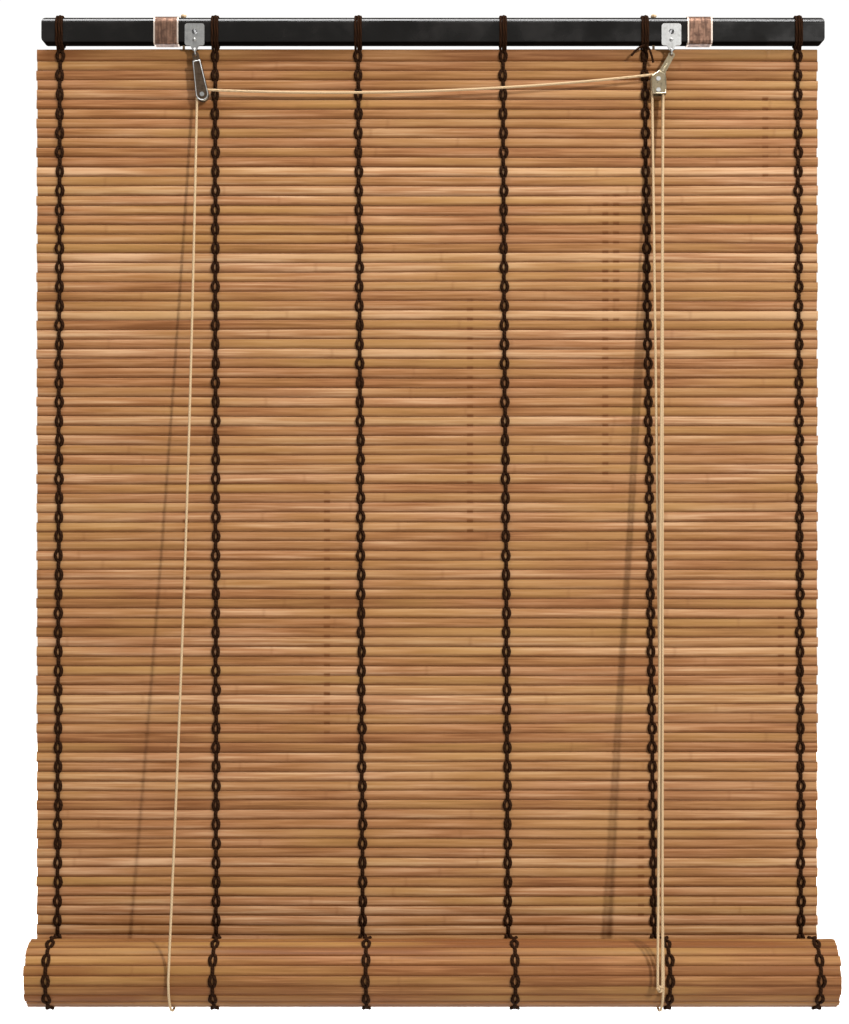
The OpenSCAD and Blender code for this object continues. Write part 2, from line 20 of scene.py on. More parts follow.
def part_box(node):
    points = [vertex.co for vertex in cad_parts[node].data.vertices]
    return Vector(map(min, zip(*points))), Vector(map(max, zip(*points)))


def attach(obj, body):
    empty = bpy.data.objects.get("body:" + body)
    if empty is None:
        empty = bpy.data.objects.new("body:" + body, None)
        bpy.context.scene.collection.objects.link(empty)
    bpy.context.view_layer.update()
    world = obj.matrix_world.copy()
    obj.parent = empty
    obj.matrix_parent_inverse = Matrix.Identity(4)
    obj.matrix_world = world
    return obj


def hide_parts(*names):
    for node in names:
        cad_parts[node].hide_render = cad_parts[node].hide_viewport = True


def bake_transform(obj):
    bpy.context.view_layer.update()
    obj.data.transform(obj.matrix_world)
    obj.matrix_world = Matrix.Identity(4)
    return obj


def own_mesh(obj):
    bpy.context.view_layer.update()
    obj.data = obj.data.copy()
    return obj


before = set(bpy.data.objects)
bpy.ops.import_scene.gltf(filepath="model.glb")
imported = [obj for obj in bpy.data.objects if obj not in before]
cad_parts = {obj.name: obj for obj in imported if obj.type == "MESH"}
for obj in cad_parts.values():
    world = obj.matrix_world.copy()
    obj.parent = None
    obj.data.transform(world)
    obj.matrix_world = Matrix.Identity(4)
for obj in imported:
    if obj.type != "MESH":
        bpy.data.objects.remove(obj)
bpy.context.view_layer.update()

LOG = logging.getLogger("blind")
MM = 0.001
Socket = bpy.types.NodeSocket
Piece = bpy.types.Object
Material = bpy.types.Material
Colour = tuple[float, float, float]


class Body(str, Enum):
    """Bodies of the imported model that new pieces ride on."""

    HEAD = "head"
    SLINGS = "slings"
    ROLL = "roll"
    PULLEY = "pulley"
    LOCK = "lock"


class Slot(str, Enum):
    """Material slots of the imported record."""

    LACQUER = "lacquer"
    BAMBOO = "bamboo"
    DOWEL = "dowel"
    BRONZE = "bronze"
    ZINC = "zinc"
    BRASS = "brass"
    STRING = "string"
    CORD = "cord"


def metres(*lengths: float) -> tuple[float, ...]:
    """Lengths in millimetres, turned into metres."""
    return tuple(length * MM for length in lengths)


def middle(node: str) -> Vector:
    """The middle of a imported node's box, in metres."""
    low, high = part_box(node)
    return (low + high) / 2


@dataclass(frozen=True)
class BlindPlan:
    """Sizes and places that several pieces share, in metres."""

    rail_low: Vector
    rail_high: Vector
    roll: Vector
    pulley: Vector
    lock: Vector
    knot: Vector
    columns: tuple[float, ...]
    roll_columns: tuple[float, ...]
    slat_count: int = 95
    slat_step: float = 7.38 * MM
    slat_t: float = 1.4 * MM
    slat_l: float = 600 * MM
    mat_shift: float = -4.5 * MM
    mat_drop: float = 5.5 * MM
    roll_d: float = 52.2 * MM
    roll_turn: float = 2.4 * MM
    core_r: float = 5.8 * MM
    lift: float = 600 * MM
    trim: float = 0.5 * MM

    @classmethod
    def from_frame(cls) -> "BlindPlan":
        """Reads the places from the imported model."""
        low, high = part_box("head_rail")
        return cls(
            rail_low=low, rail_high=high, roll=middle("bottom_dowel"), pulley=middle("pulley_wheel"),
            lock=middle("lock_wheel"), knot=middle("pull_knot"),
            columns=tuple(middle(f"warp_pair_{k}").x for k in range(1, 7)),
            roll_columns=tuple(middle(f"roll_warp_{k}").x for k in range(1, 7)))

    @property
    def mat_y(self) -> float:
        """Depth of the hanging mat's middle."""
        return (self.rail_low.y + self.rail_high.y) / 2

    @property
    def mat_top(self) -> float:
        """Height of the first slat's upper edge."""
        return self.rail_low.z - self.mat_drop

    @property
    def roll_r(self) -> float:
        """Radius of the roll's outer turn, to the middle of its slats."""
        return (self.roll_d - self.slat_t) / 2

    @property
    def roll_count(self) -> int:
        """Number of slats in the roll."""
        area = math.pi * (self.roll_r ** 2 - self.core_r ** 2)
        return int(area / self.roll_turn / self.slat_step)

    def spiral(self, run: float) -> tuple[float, float]:
        """The roll's radius, and the angle turned from its back downwards, after a run of mat."""
        radius = math.sqrt(self.roll_r ** 2 - self.roll_turn * run / math.pi)
        return radius, 2 * math.pi * (self.roll_r - radius) / self.roll_turn

    def on_roll(self, x: float, run: float, out: float) -> Vector:
        """Finds a point on the roll.

        Args:
            x: Place along the roll.
            run: Length of mat from the lower end of the hanging part.
            out: Distance outwards from the middle of the slat.

        Returns:
            The point, in metres.
        """
        radius, angle = self.spiral(run)
        reach = radius + out
        return Vector((x, self.roll.y + reach * math.cos(angle), self.roll.z - reach * math.sin(angle)))

    def stray(self, index: int) -> float:
        """How far a slat was trimmed off its place along the mat."""
        return self.trim * math.sin(math.radians(index * 137))


class Bench:
    """Modelling operators, used as by hand on one piece at a time."""

    @staticmethod
    def clear() -> None:
        """Leaves edit mode and deselects everything."""
        if bpy.context.object is not None and bpy.context.object.mode != "OBJECT":
            bpy.ops.object.mode_set(mode="OBJECT")
        bpy.ops.object.select_all(action="DESELECT")

    @staticmethod
    def take(obj: Piece) -> None:
        """Makes one object the only selected and active one."""
        Bench.clear()
        obj.select_set(True)
        bpy.context.view_layer.objects.active = obj

    @staticmethod
    def pick_edges(obj: Piece, wanted: Callable[[Vector, Vector], bool]) -> None:
        """Selects edges by their ends and enters edit mode.

        Args:
            obj: The mesh object.
            wanted: Says for an edge's two ends whether it is selected.
        """
        Bench.take(obj)
        bpy.ops.object.mode_set(mode="EDIT")
        bpy.ops.mesh.select_mode(type="EDGE")
        bpy.ops.mesh.select_all(action="DESELECT")
        bpy.ops.object.mode_set(mode="OBJECT")
        points = obj.data.vertices
        for edge in obj.data.edges:
            a, b = (points[i].co for i in edge.vertices)
            edge.select = wanted(a, b)
        bpy.ops.object.mode_set(mode="EDIT")

    @staticmethod
    def settle(obj: Piece) -> None:
        """Applies an object's place, turn and scale to its mesh."""
        Bench.take(obj)
        bpy.ops.object.transform_apply(location=True, rotation=True, scale=True)

    @staticmethod
    def join(parts: Sequence[Piece], name: str) -> Piece:
        """Joins mesh objects into one.

        Args:
            parts: The objects, which become one.
            name: Name of the joined piece.

        Returns:
            The joined object.
        """
        Bench.take(parts[0])
        for part in parts:
            part.select_set(True)
        if len(parts) > 1:
            bpy.ops.object.join()
        parts[0].name = name
        parts[0].data.name = name
        return parts[0]

    @staticmethod
    def smooth(obj: Piece, degrees: float = 40) -> None:
        """Shades a mesh smooth across edges flatter than an angle."""
        Bench.take(obj)
        bpy.ops.object.shade_smooth_by_angle(angle=math.radians(degrees))

    @staticmethod
    def tube(name: str, runs: Sequence[Sequence[Vector]], radius: float, closed: bool = False,
             sides: int = 6) -> Piece:
        """Sweeps round strands along lists of points, as one mesh.

        Args:
            name: Name of the piece.
            runs: The points of each strand.
            radius: Radius of a strand.
            closed: Whether each strand joins its own end.
            sides: Number of faces round a strand, an even number.

        Returns:
            The mesh object, whose map runs in metres along a strand and from 0 to 1 round it.
        """
        curve = bpy.data.curves.new(name, "CURVE")
        curve.dimensions = "3D"
        curve.bevel_depth = radius
        curve.bevel_resolution = max(0, (sides - 4) // 2)
        curve.use_fill_caps = not closed
        lengths = []
        for run in runs:
            spline = curve.splines.new("POLY")
            spline.points.add(len(run) - 1)
            for point, place in zip(spline.points, run):
                point.co = (*place, 1)
            spline.use_cyclic_u = closed
            lengths.append(sum((b - a).length for a, b in zip(run, run[1:])))
        obj = bpy.data.objects.new(name, curve)
        bpy.context.scene.collection.objects.link(obj)
        Bench.take(obj)
        bpy.ops.object.convert(target="MESH")
        longest = max(lengths)
        for corner in obj.data.uv_layers[0].data:
            corner.uv[0] *= longest
        Bench.smooth(obj, 60)
        return obj


class NodePad:
    """Adds and wires the nodes of one material."""

    def __init__(self, name: str) -> None:
        """Starts a material with its shader."""
        self.material = bpy.data.materials.new(name)
        self.material.use_nodes = True
        self.tree = self.material.node_tree
        self.shader = self.tree.nodes["Principled BSDF"]

    def set(self, **values: object) -> None:
        """Sets or links the shader's own sockets, named with underscores for spaces."""
        for name, value in values.items():
            self.feed(self.shader.inputs[name.replace("_", " ")], value)

    def add(self, kind: str, inputs: dict[str, object] | None = None, **settings: object) -> bpy.types.Node:
        """Adds a node.

        Args:
            kind: Type name of the node.
            inputs: Values or sockets for its inputs, by name.
            **settings: Properties of the node.

        Returns:
            The node.
        """
        node = self.tree.nodes.new(kind)
        for name, value in settings.items():
            setattr(node, name, value)
        for name, value in (inputs or {}).items():
            self.feed(node.inputs[name], value)
        return node

    def feed(self, socket: Socket, value: object) -> None:
        """Links a value into a socket, or sets it there.

        Args:
            socket: The input.
            value: A socket to link, a number, or a colour without its alpha.
        """
        if isinstance(value, Socket):
            self.tree.links.new(value, socket)
        else:
            socket.default_value = (*value, 1.0) if isinstance(value, tuple) else value

    def math(self, operation: str, *values: object) -> Socket:
        """Adds a math node.

        Args:
            operation: Its kind.
            *values: Numbers or sockets for its inputs.

        Returns:
            Its result.
        """
        node = self.add("ShaderNodeMath", operation=operation)
        for socket, value in zip(node.inputs, values):
            self.feed(socket, value)
        return node.outputs[0]

    def times(self, value: object, factor: object) -> Socket:
        """Multiplies two values."""
        return self.math("MULTIPLY", value, factor)

    def sway(self, value: Socket, noise: Socket, amount: float) -> Socket:
        """Adds a share of a noise, taken about its middle, to a value."""
        return self.math("ADD", value, self.times(self.math("SUBTRACT", noise, 0.5), amount))

    def span(self, value: Socket, low: float, high: float, to_low: float, to_high: float) -> Socket:
        """Maps a value from one span to another, held at its ends."""
        node = self.add("ShaderNodeMapRange", {"Value": value, "From Min": low, "From Max": high,
                                               "To Min": to_low, "To Max": to_high})
        return node.outputs["Result"]

    def mix(self, share: object, first: object, second: object) -> Socket:
        """Mixes two colours.

        Args:
            share: Share of the second one.
            first: A colour or a socket.
            second: A colour or a socket.

        Returns:
            The mixed colour.
        """
        node = self.add("ShaderNodeMix", data_type="RGBA")
        for number, value in ((0, share), (6, first), (7, second)):
            self.feed(node.inputs[number], value)
        return node.outputs[2]

    def ramp(self, value: Socket, stops: Sequence[tuple[float, Colour]]) -> Socket:
        """Turns a value into a colour.

        Args:
            value: The value.
            stops: Places along the ramp with their colours.

        Returns:
            The colour.
        """
        node = self.add("ShaderNodeValToRGB", {"Fac": value})
        elements = node.color_ramp.elements
        while len(elements) < len(stops):
            elements.new(0.5)
        for element, (place, colour) in zip(elements, stops):
            element.position = place
            element.color = (*colour, 1.0)
        return node.outputs["Color"]

    def noise(self, vector: Socket, scale: float, detail: float = 3, roughness: float = 0.55) -> Socket:
        """Adds a noise texture and returns its value."""
        node = self.add("ShaderNodeTexNoise", {"Vector": vector, "Scale": scale, "Detail": detail,
                                               "Roughness": roughness})
        return node.outputs["Fac"]

    def grain(self, detail: float, *scaled: tuple[Socket, float]) -> Socket:
        """Adds a noise texture over up to three values, each with its own scale."""
        parts = dict(zip("XYZ", (self.times(value, scale) for value, scale in scaled)))
        return self.noise(self.add("ShaderNodeCombineXYZ", parts).outputs[0], 1.0, detail)

    def split(self, vector: Socket) -> bpy.types.NodeOutputs:
        """Splits a vector into its X, Y and Z."""
        return self.add("ShaderNodeSeparateXYZ", {"Vector": vector}).outputs

    def object_point(self) -> Socket:
        """The point on the piece, in metres."""
        return self.add("ShaderNodeTexCoord").outputs["Object"]

    def bump(self, height: Socket, distance: float, strength: float = 1.0) -> None:
        """Gives the shader a bump from a height."""
        node = self.add("ShaderNodeBump", {"Height": height, "Distance": distance, "Strength": strength})
        self.tree.links.new(node.outputs[0], self.shader.inputs["Normal"])


@dataclass(frozen=True)
class BambooFinish:
    """Split bamboo: each slat has its own tone, with fibres along it, a node now and then, and painted shade
    in the gaps between slats.
    """

    name: str = "split_bamboo"
    # groove: colour of the painted shade in the gaps between slats.
    groove: Colour = (0.135, 0.044, 0.010)
    deep: Colour = (0.176, 0.066, 0.021)
    brown: Colour = (0.271, 0.115, 0.043)
    honey: Colour = (0.356, 0.174, 0.079)
    pale: Colour = (0.504, 0.299, 0.162)
    ochre: Colour = (0.342, 0.187, 0.056)
    node_gap: float = 0.31
    node_half: float = 0.0022
    slat_half: float = 3.7 * MM
    dash_half: float = 3.2 * MM
    dashes: tuple[tuple[float, float, float], ...] = (
        (-0.0815, -0.343, -0.545), (0.0285, -0.197, -0.394), (0.1325, -0.117, -0.351),
        (0.1408, -0.117, -0.228), (0.1600, -0.578, -0.686), (0.2555, -0.040, -0.117),
        (0.2676, -0.436, -0.513), (-0.190, -0.360, -0.440))
    dash_fade: float = 8 * MM

    def dash_marks(self, pad: NodePad) -> Socket:
        """Rows of dark dashes in the gaps: where they are (1) and aren't (0).

        Args:
            pad: The material's nodes.

        Returns:
            The mask.
        """
        axes = pad.split(pad.object_point())
        marks = 0.0
        for x, top, low in self.dashes:
            off = pad.math("ABSOLUTE", pad.math("SUBTRACT", axes["X"], x))
            row = pad.span(off, 0.6 * self.dash_half, 1.3 * self.dash_half, 1.0, 0.0)
            row = pad.times(row, pad.span(axes["Z"], low, low + self.dash_fade, 0.0, 1.0))
            row = pad.times(row, pad.span(axes["Z"], top - self.dash_fade, top, 1.0, 0.0))
            marks = pad.math("MAXIMUM", row, marks)
        return marks

    def material(self) -> Material:
        """Builds the material.

        Returns:
            A material that reads the slats' own map and their tone and seed.
        """
        pad = NodePad(self.name)
        place = pad.split(pad.add("ShaderNodeUVMap", uv_map="slat_map").outputs[0])
        tone, seed = (pad.add("ShaderNodeAttribute", attribute_name=name).outputs["Fac"]
                      for name in ("slat_tone", "slat_seed"))
        along, across = pad.math("ADD", place["X"], pad.times(seed, 3.1)), place["Y"]
        fibre = pad.grain(4, (along, 16.0), (across, 650.0), (seed, 50.0))
        cloud = pad.grain(2, (along, 11.0), (across, 110.0), (seed, 91.0))
        waver = pad.grain(3, (along, 30.0), (seed, 37.0))
        depth = pad.grain(2, (along, 7.0), (seed, 53.0))
        hue = pad.grain(2, (along, 5.0), (seed, 71.0))
        dash = self.dash_marks(pad)
        # Painted shade in the gaps between slats: the groove colour grows towards each slat's long edges,
        # wavers along it, and is deepened along the rows of dashes.
        edge = pad.math("DIVIDE", pad.math("ABSOLUTE", across), self.slat_half)
        edge = pad.math("ADD", pad.sway(edge, waver, 0.55), pad.times(dash, 0.06))
        strength = pad.math("MAXIMUM", pad.span(depth, 0.36, 0.64, 0.54, 0.88), dash)
        shaded = pad.times(pad.span(edge, 0.54, 0.98, 0.0, 1.0), strength)
        turn = pad.math("FRACT", pad.math("DIVIDE", along, self.node_gap))
        away = pad.times(pad.math("ABSOLUTE", pad.math("SUBTRACT", turn, 0.5)), self.node_gap)
        ring = pad.span(away, 0.0, self.node_half, 1.0, 0.0)
        value = pad.sway(pad.sway(tone, cloud, 1.0), fibre, 1.5)
        tint = pad.ramp(value, ((0.0, self.deep), (0.33, self.brown), (0.64, self.honey), (1.0, self.pale)))
        tint = pad.mix(pad.span(hue, 0.42, 0.68, 0.0, 0.6), tint, self.ochre)
        tint = pad.mix(pad.times(ring, 0.22), tint, self.deep)
        pad.set(Base_Color=pad.mix(shaded, tint, self.groove),
                Roughness=pad.span(fibre, 0.3, 0.7, 0.40, 0.60), Specular_IOR_Level=0.14)
        pad.bump(pad.math("ADD", fibre, ring), 0.25 * MM, 0.5)
        return pad.material


@dataclass(frozen=True)
class LacquerFinish:
    """Black gloss lacquer on wood, with a faint brush wave and dulled patches."""

    name: str = "black_lacquer"
    black: Colour = (0.0028, 0.0022, 0.0016)
    worn: Colour = (0.007, 0.005, 0.0038)

    def material(self) -> Material:
        """Builds the material.

        Returns:
            The material.
        """
        pad = NodePad(self.name)
        point = pad.object_point()
        axes = pad.split(point)
        streak = pad.grain(3, (axes["X"], 14.0), (axes["Y"], 900.0), (axes["Z"], 900.0))
        patch = pad.noise(point, 38.0, 3)
        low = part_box("head_rail")[0].z
        gloss = pad.span(axes["Z"], low + 0.6 * MM, low + 1.6 * MM, 0.0, 1.0)
        pad.set(Base_Color=pad.mix(pad.span(patch, 0.5, 0.75, 0.0, 0.8), self.black, self.worn),
                Roughness=pad.span(patch, 0.35, 0.7, 0.16, 0.34),
                Specular_IOR_Level=pad.times(gloss, 0.34), Coat_Weight=pad.times(gloss, 0.3),
                Coat_Roughness=0.07)
        pad.bump(streak, 0.12 * MM, 0.35)
        return pad.material


@dataclass(frozen=True)
class MetalFinish:
    """Plated or bronzed sheet metal with fine rolling marks and smudges, and a painted highlight along its
    side edges where one is given.
    """

    name: str
    clean: Colour
    dull: Colour
    gloss: float = 0.26
    matt: float = 0.46
    metallic: float = 1.0
    streak: float = 0.35
    painted_edge_highlight: Colour | None = None
    edge_from: float = 0.0
    edge_about: float = 0.0
    edge_fade: float = 0.7 * MM

    def material(self) -> Material:
        """Builds the material.

        Returns:
            A metal, with a painted highlight along its side edges where a highlight colour is given.
        """
        pad = NodePad(self.name)
        point = pad.object_point()
        axes = pad.split(point)
        smudge = pad.noise(point, 230.0, 4)
        marks = pad.grain(3, (axes["X"], 700.0), (axes["Y"], 60.0), (axes["Z"], 60.0))
        tint = pad.mix(pad.span(smudge, 0.38, 0.68, 0.0, 1.0), self.clean, self.dull)
        tint = pad.mix(pad.span(marks, 0.42, 0.66, 0.0, self.streak), tint, self.dull)
        # Painted highlight: a pale colour along both side edges of a strip.
        if self.painted_edge_highlight is not None:
            side = pad.math("SUBTRACT", pad.math("ABSOLUTE", axes["X"]), self.edge_about)
            share = pad.span(pad.math("ABSOLUTE", side), self.edge_from, self.edge_from + self.edge_fade,
                             0.0, 1.0)
            tint = pad.mix(share, tint, self.painted_edge_highlight)
        pad.set(Base_Color=tint, Roughness=pad.span(smudge, 0.3, 0.7, self.gloss, self.matt),
                Metallic=self.metallic)
        pad.bump(marks, 0.06 * MM, 0.4)
        return pad.material


@dataclass(frozen=True)
class TwistFinish:
    """Twisted or braided thread: its plies wind round it along its own map."""

    name: str
    light: Colour
    dark: Colour
    pitch: float
    plies: int
    braided: bool = False
    gloss: float = 0.15

    def material(self) -> Material:
        """Builds the material.

        Returns:
            A cloth-like material with plies that wind one way, or both ways in a braid.
        """
        pad = NodePad(self.name)
        place = pad.split(pad.add("ShaderNodeUVMap", uv_map="UVMap").outputs[0])
        run = pad.times(place["X"], 2 * math.pi / self.pitch)
        turn = pad.times(place["Y"], 2 * math.pi * self.plies)
        ply = pad.math("SINE", pad.math("ADD", run, turn))
        if self.braided:
            ply = pad.math("MAXIMUM", ply, pad.math("SINE", pad.math("SUBTRACT", run, turn)))
        fuzz = pad.noise(pad.object_point(), 900.0, 2)
        shade = pad.math("ADD", pad.span(ply, -1.0, 1.0, 0.0, 0.7), pad.times(fuzz, 0.4))
        pad.set(Base_Color=pad.mix(shade, self.dark, self.light),
                Roughness=pad.span(fuzz, 0.3, 0.7, 0.7, 0.95), Specular_IOR_Level=self.gloss)
        pad.bump(shade, 0.25 * MM, 0.7)
        return pad.material


@dataclass(frozen=True)
class RodFinish:
    """Plain turned softwood with grain along X."""

    name: str = "turned_rod"
    light: Colour = (0.62, 0.40, 0.21)
    dark: Colour = (0.42, 0.23, 0.10)

    def material(self) -> Material:
        """Builds the material.

        Returns:
            The material.
        """
        pad = NodePad(self.name)
        axes = pad.split(pad.object_point())
        grain = pad.grain(4, (axes["X"], 12.0), (axes["Y"], 700.0), (axes["Z"], 700.0))
        pad.set(Base_Color=pad.mix(pad.span(grain, 0.3, 0.7, 0.0, 1.0), self.dark, self.light),
                Roughness=pad.span(grain, 0.3, 0.7, 0.5, 0.7))
        pad.bump(grain, 0.2 * MM, 0.4)
        return pad.material


@dataclass(frozen=True)
class FloorFinish:
    """Plain pale floor."""

    name: str = "pale_floor"
    pale: Colour = (0.93, 0.93, 0.925)

    def material(self) -> Material:
        """Builds the material.

        Returns:
            The material.
        """
        pad = NodePad(self.name)
        cloud = pad.noise(pad.object_point(), 3.0, 2)
        pad.set(Base_Color=self.pale, Roughness=pad.span(cloud, 0.3, 0.7, 0.75, 0.9))
        return pad.material


class Finishes:
    """The finishes of this blind, each built once."""

    def __init__(self) -> None:
        """Builds all materials."""
        low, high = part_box("right_strap")
        # Where the painted highlight along the bronzed straps' side edges begins.
        edge = (high.x - low.x) / 2 - 1.4 * MM
        made = {
            Slot.LACQUER: LacquerFinish(),
            Slot.BAMBOO: BambooFinish(),
            Slot.DOWEL: RodFinish(),
            Slot.BRONZE: MetalFinish("bronzed_strip", (0.26, 0.142, 0.092), (0.075, 0.037, 0.023), 0.36, 0.58,
                                     0.7, 0.9, (0.62, 0.52, 0.44), edge, middle("right_strap").x),
            Slot.ZINC: MetalFinish("zinc_plate", (0.52, 0.52, 0.505), (0.29, 0.285, 0.27), 0.3, 0.55),
            Slot.BRASS: MetalFinish("pale_brass", (0.78, 0.69, 0.50), (0.42, 0.34, 0.21), 0.2, 0.4),
            Slot.STRING: TwistFinish("dark_string", (0.028, 0.0105, 0.004), (0.008, 0.003, 0.001), 2.4 * MM,
                                     2, gloss=0.04),
            Slot.CORD: TwistFinish("beige_cord", (0.56, 0.40, 0.235), (0.28, 0.18, 0.09), 2.2 * MM, 3, True),
        }
        # The pulley frame's dark warm brown is painted shade, standing for shaded mat seen through an open
        # frame.
        zinc = MetalFinish("painted_shade_zinc", (0.15, 0.105, 0.072), (0.06, 0.038, 0.024), 0.35, 0.55)
        brass = MetalFinish("dull_brass", (0.38, 0.31, 0.20), (0.17, 0.13, 0.08), 0.26, 0.45)
        self.painted_shade_zinc, self.dull_brass = zinc.material(), brass.material()
        self.materials = {slot: finish.material() for slot, finish in made.items()}

    @staticmethod
    def coat(obj: Piece, material: Material) -> None:
        """Gives an object one material."""
        obj.data.materials.clear()
        obj.data.materials.append(material)

    def dress(self, obj: Piece, slot: Slot) -> None:
        """Gives an object one finish."""
        self.coat(obj, self.materials[slot])

    def dress_node(self, node: str, slot: Slot) -> None:
        """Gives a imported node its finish."""
        self.dress(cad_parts[node], slot)
        LOG.info("finish %s on %s", slot.value, node)

    def place(self, obj: Piece, slot: Slot, body: Body, replaces: Iterable[str] = (),
              blend: tuple[Body, Vector, Vector] | None = None) -> Piece:
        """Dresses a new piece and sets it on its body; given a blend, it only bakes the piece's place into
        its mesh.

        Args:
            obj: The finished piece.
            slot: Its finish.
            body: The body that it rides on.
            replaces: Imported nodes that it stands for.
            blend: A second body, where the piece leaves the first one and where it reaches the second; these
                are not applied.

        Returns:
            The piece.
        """
        self.dress(obj, slot)
        if blend is None:
            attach(obj, body.value)
        else:
            fitting, far, near = blend
            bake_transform(obj)
            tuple(far)
            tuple(near)
        nodes = list(replaces)
        if nodes:
            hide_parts(*nodes)
        LOG.info("piece %s: %d faces on %s", obj.name, len(obj.data.polygons), body.value)
        return obj


@dataclass
class Fittings:
    """The rail, straps, plates, pulley and lock, which keep their solids."""

    finishes: Finishes
    lacquered: tuple[str, ...] = ("head_rail",)
    bronzed: tuple[str, ...] = ("left_strap", "right_strap")
    zinc: tuple[str, ...] = ("left_plate", "right_plate", "plate_nails", "left_ring", "right_ring",
                             "pulley_pin", "lock_wheel", "lock_wheel_pin", "lock_cam_pin")
    # The pulley frame gets the painted shade colour.
    painted_shade_zinc: tuple[str, ...] = ("pulley_frame",)
    brass: tuple[str, ...] = ("pulley_wheel", "lock_cam")
    dull_brass: tuple[str, ...] = ("lock_housing",)

    def dress(self) -> None:
        """Finishes each fitting."""
        groups = ((Slot.LACQUER, self.lacquered), (Slot.BRONZE, self.bronzed), (Slot.ZINC, self.zinc),
                  (Slot.BRASS, self.brass), (Slot.DOWEL, ("bottom_dowel",)))
        for slot, nodes in groups:
            for node in nodes:
                self.finishes.dress_node(node, slot)
        dulled = ((self.finishes.painted_shade_zinc, self.painted_shade_zinc), (self.finishes.dull_brass, self.dull_brass))
        for material, nodes in dulled:
            for node in nodes:
                self.finishes.coat(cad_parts[node], material)
                LOG.info("finish %s on %s", material.name, node)


@dataclass
class PressedRims:
    """Raised rims and ribs pressed into the front cheeks of the pulley and the lock."""

    plan: BlindPlan
    finishes: Finishes
    bead: float = 0.6 * MM
    inset: float = 0.55 * MM
    cheek_r: float = 4.9 * MM
    shoulder: float = 3.1 * MM
    pulley_top: float = 10.2 * MM
    lock_r: float = 5.5 * MM
    lock_neck: float = 3.0 * MM
    lock_right: float = 6.15 * MM
    lock_left: float = 4.5 * MM
    lock_foot: float = 11.5 * MM
    lock_hang: float = 3.0 * MM
    lock_turn: tuple[float, ...] = (150, 165, 180, 190)
    rib_run: tuple[tuple[float, ...], ...] = (metres(9, 0.4), metres(4, 0), metres(-0.5, 0))
    rib_r: float = 0.9 * MM
    rib_out: float = 1.1 * MM
    ring_share: float = 0.42
    sunk: float = 0.3

    @staticmethod
    def axes(ring: str, wheel: Vector) -> tuple[Vector, Vector]:
        """Directions of a fitting: down from its ring to its wheel, and across it to the right."""
        line = wheel - middle(ring)
        down = Vector((line.x, 0, line.z)).normalized()
        return down, Vector((-down.z, 0, down.x))

    def edging(self, name: str, node: str, points: Sequence[Vector]) -> Piece:
        """Lays a closed bead along points on the front of a node."""
        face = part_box(node)[0].y + self.bead * self.sunk
        return Bench.tube(name, [[Vector((p.x, face, p.z)) for p in points]], self.bead, closed=True)

    def pulley(self) -> None:
        """Rims the pulley's cheek: two legs that meet below the wheel."""
        wheel, (low, high) = self.plan.pulley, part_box("left_ring")
        down, across = self.axes("left_ring", wheel)
        origin = middle("left_ring") - down * (high - low).z * self.ring_share
        top = origin + down * self.pulley_top
        edge, turn = self.cheek_r - self.inset, self.shoulder - self.inset
        rim = [top + across * turn]
        for step in range(13):
            angle = math.radians(10 - 200 * step / 12)
            rim.append(wheel + edge * (across * math.cos(angle) - down * math.sin(angle)))
        rim.append(top - across * turn)
        self.finishes.place(self.edging("pulley_rim", "pulley_frame", rim), Slot.ZINC, Body.PULLEY)

    def lock(self) -> None:
        """Rims the lock's cheek and runs a rib down from its neck."""
        wheel = self.plan.lock
        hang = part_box("lock_housing")[1].z - self.lock_hang
        line = Vector((middle("right_plate").x - wheel.x, 0, hang - wheel.z)).normalized()
        across = Vector((line.z, 0, -line.x))
        neck = wheel + line * self.lock_r
        small, right = self.lock_neck - self.inset, self.lock_right - self.inset
        reach, foot = self.lock_r - self.inset, -self.lock_foot + self.inset
        rim = [neck + across * small, neck - across * small]
        corners = [(reach * math.cos(a), reach * math.sin(a)) for a in map(math.radians, self.lock_turn)]
        corners += [(-self.lock_left + self.inset, foot), (right, foot), (right, 0)]
        rim += [wheel + Vector((x, 0, z)) for x, z in corners]
        rib = [neck + line * up + across * aside for up, aside in self.rib_run]
        crest = middle("lock_housing").y - self.rib_out
        spine = Bench.tube("lock_rib", [[Vector((p.x, crest, p.z)) for p in rib]], self.rib_r, sides=8)
        piece = Bench.join([self.edging("lock_rim", "lock_housing", rim), spine], "lock_rim")
        self.finishes.place(piece, Slot.BRASS, Body.LOCK)

    def build(self) -> None:
        """Builds the rims of both fittings."""
        self.pulley()
        self.lock()


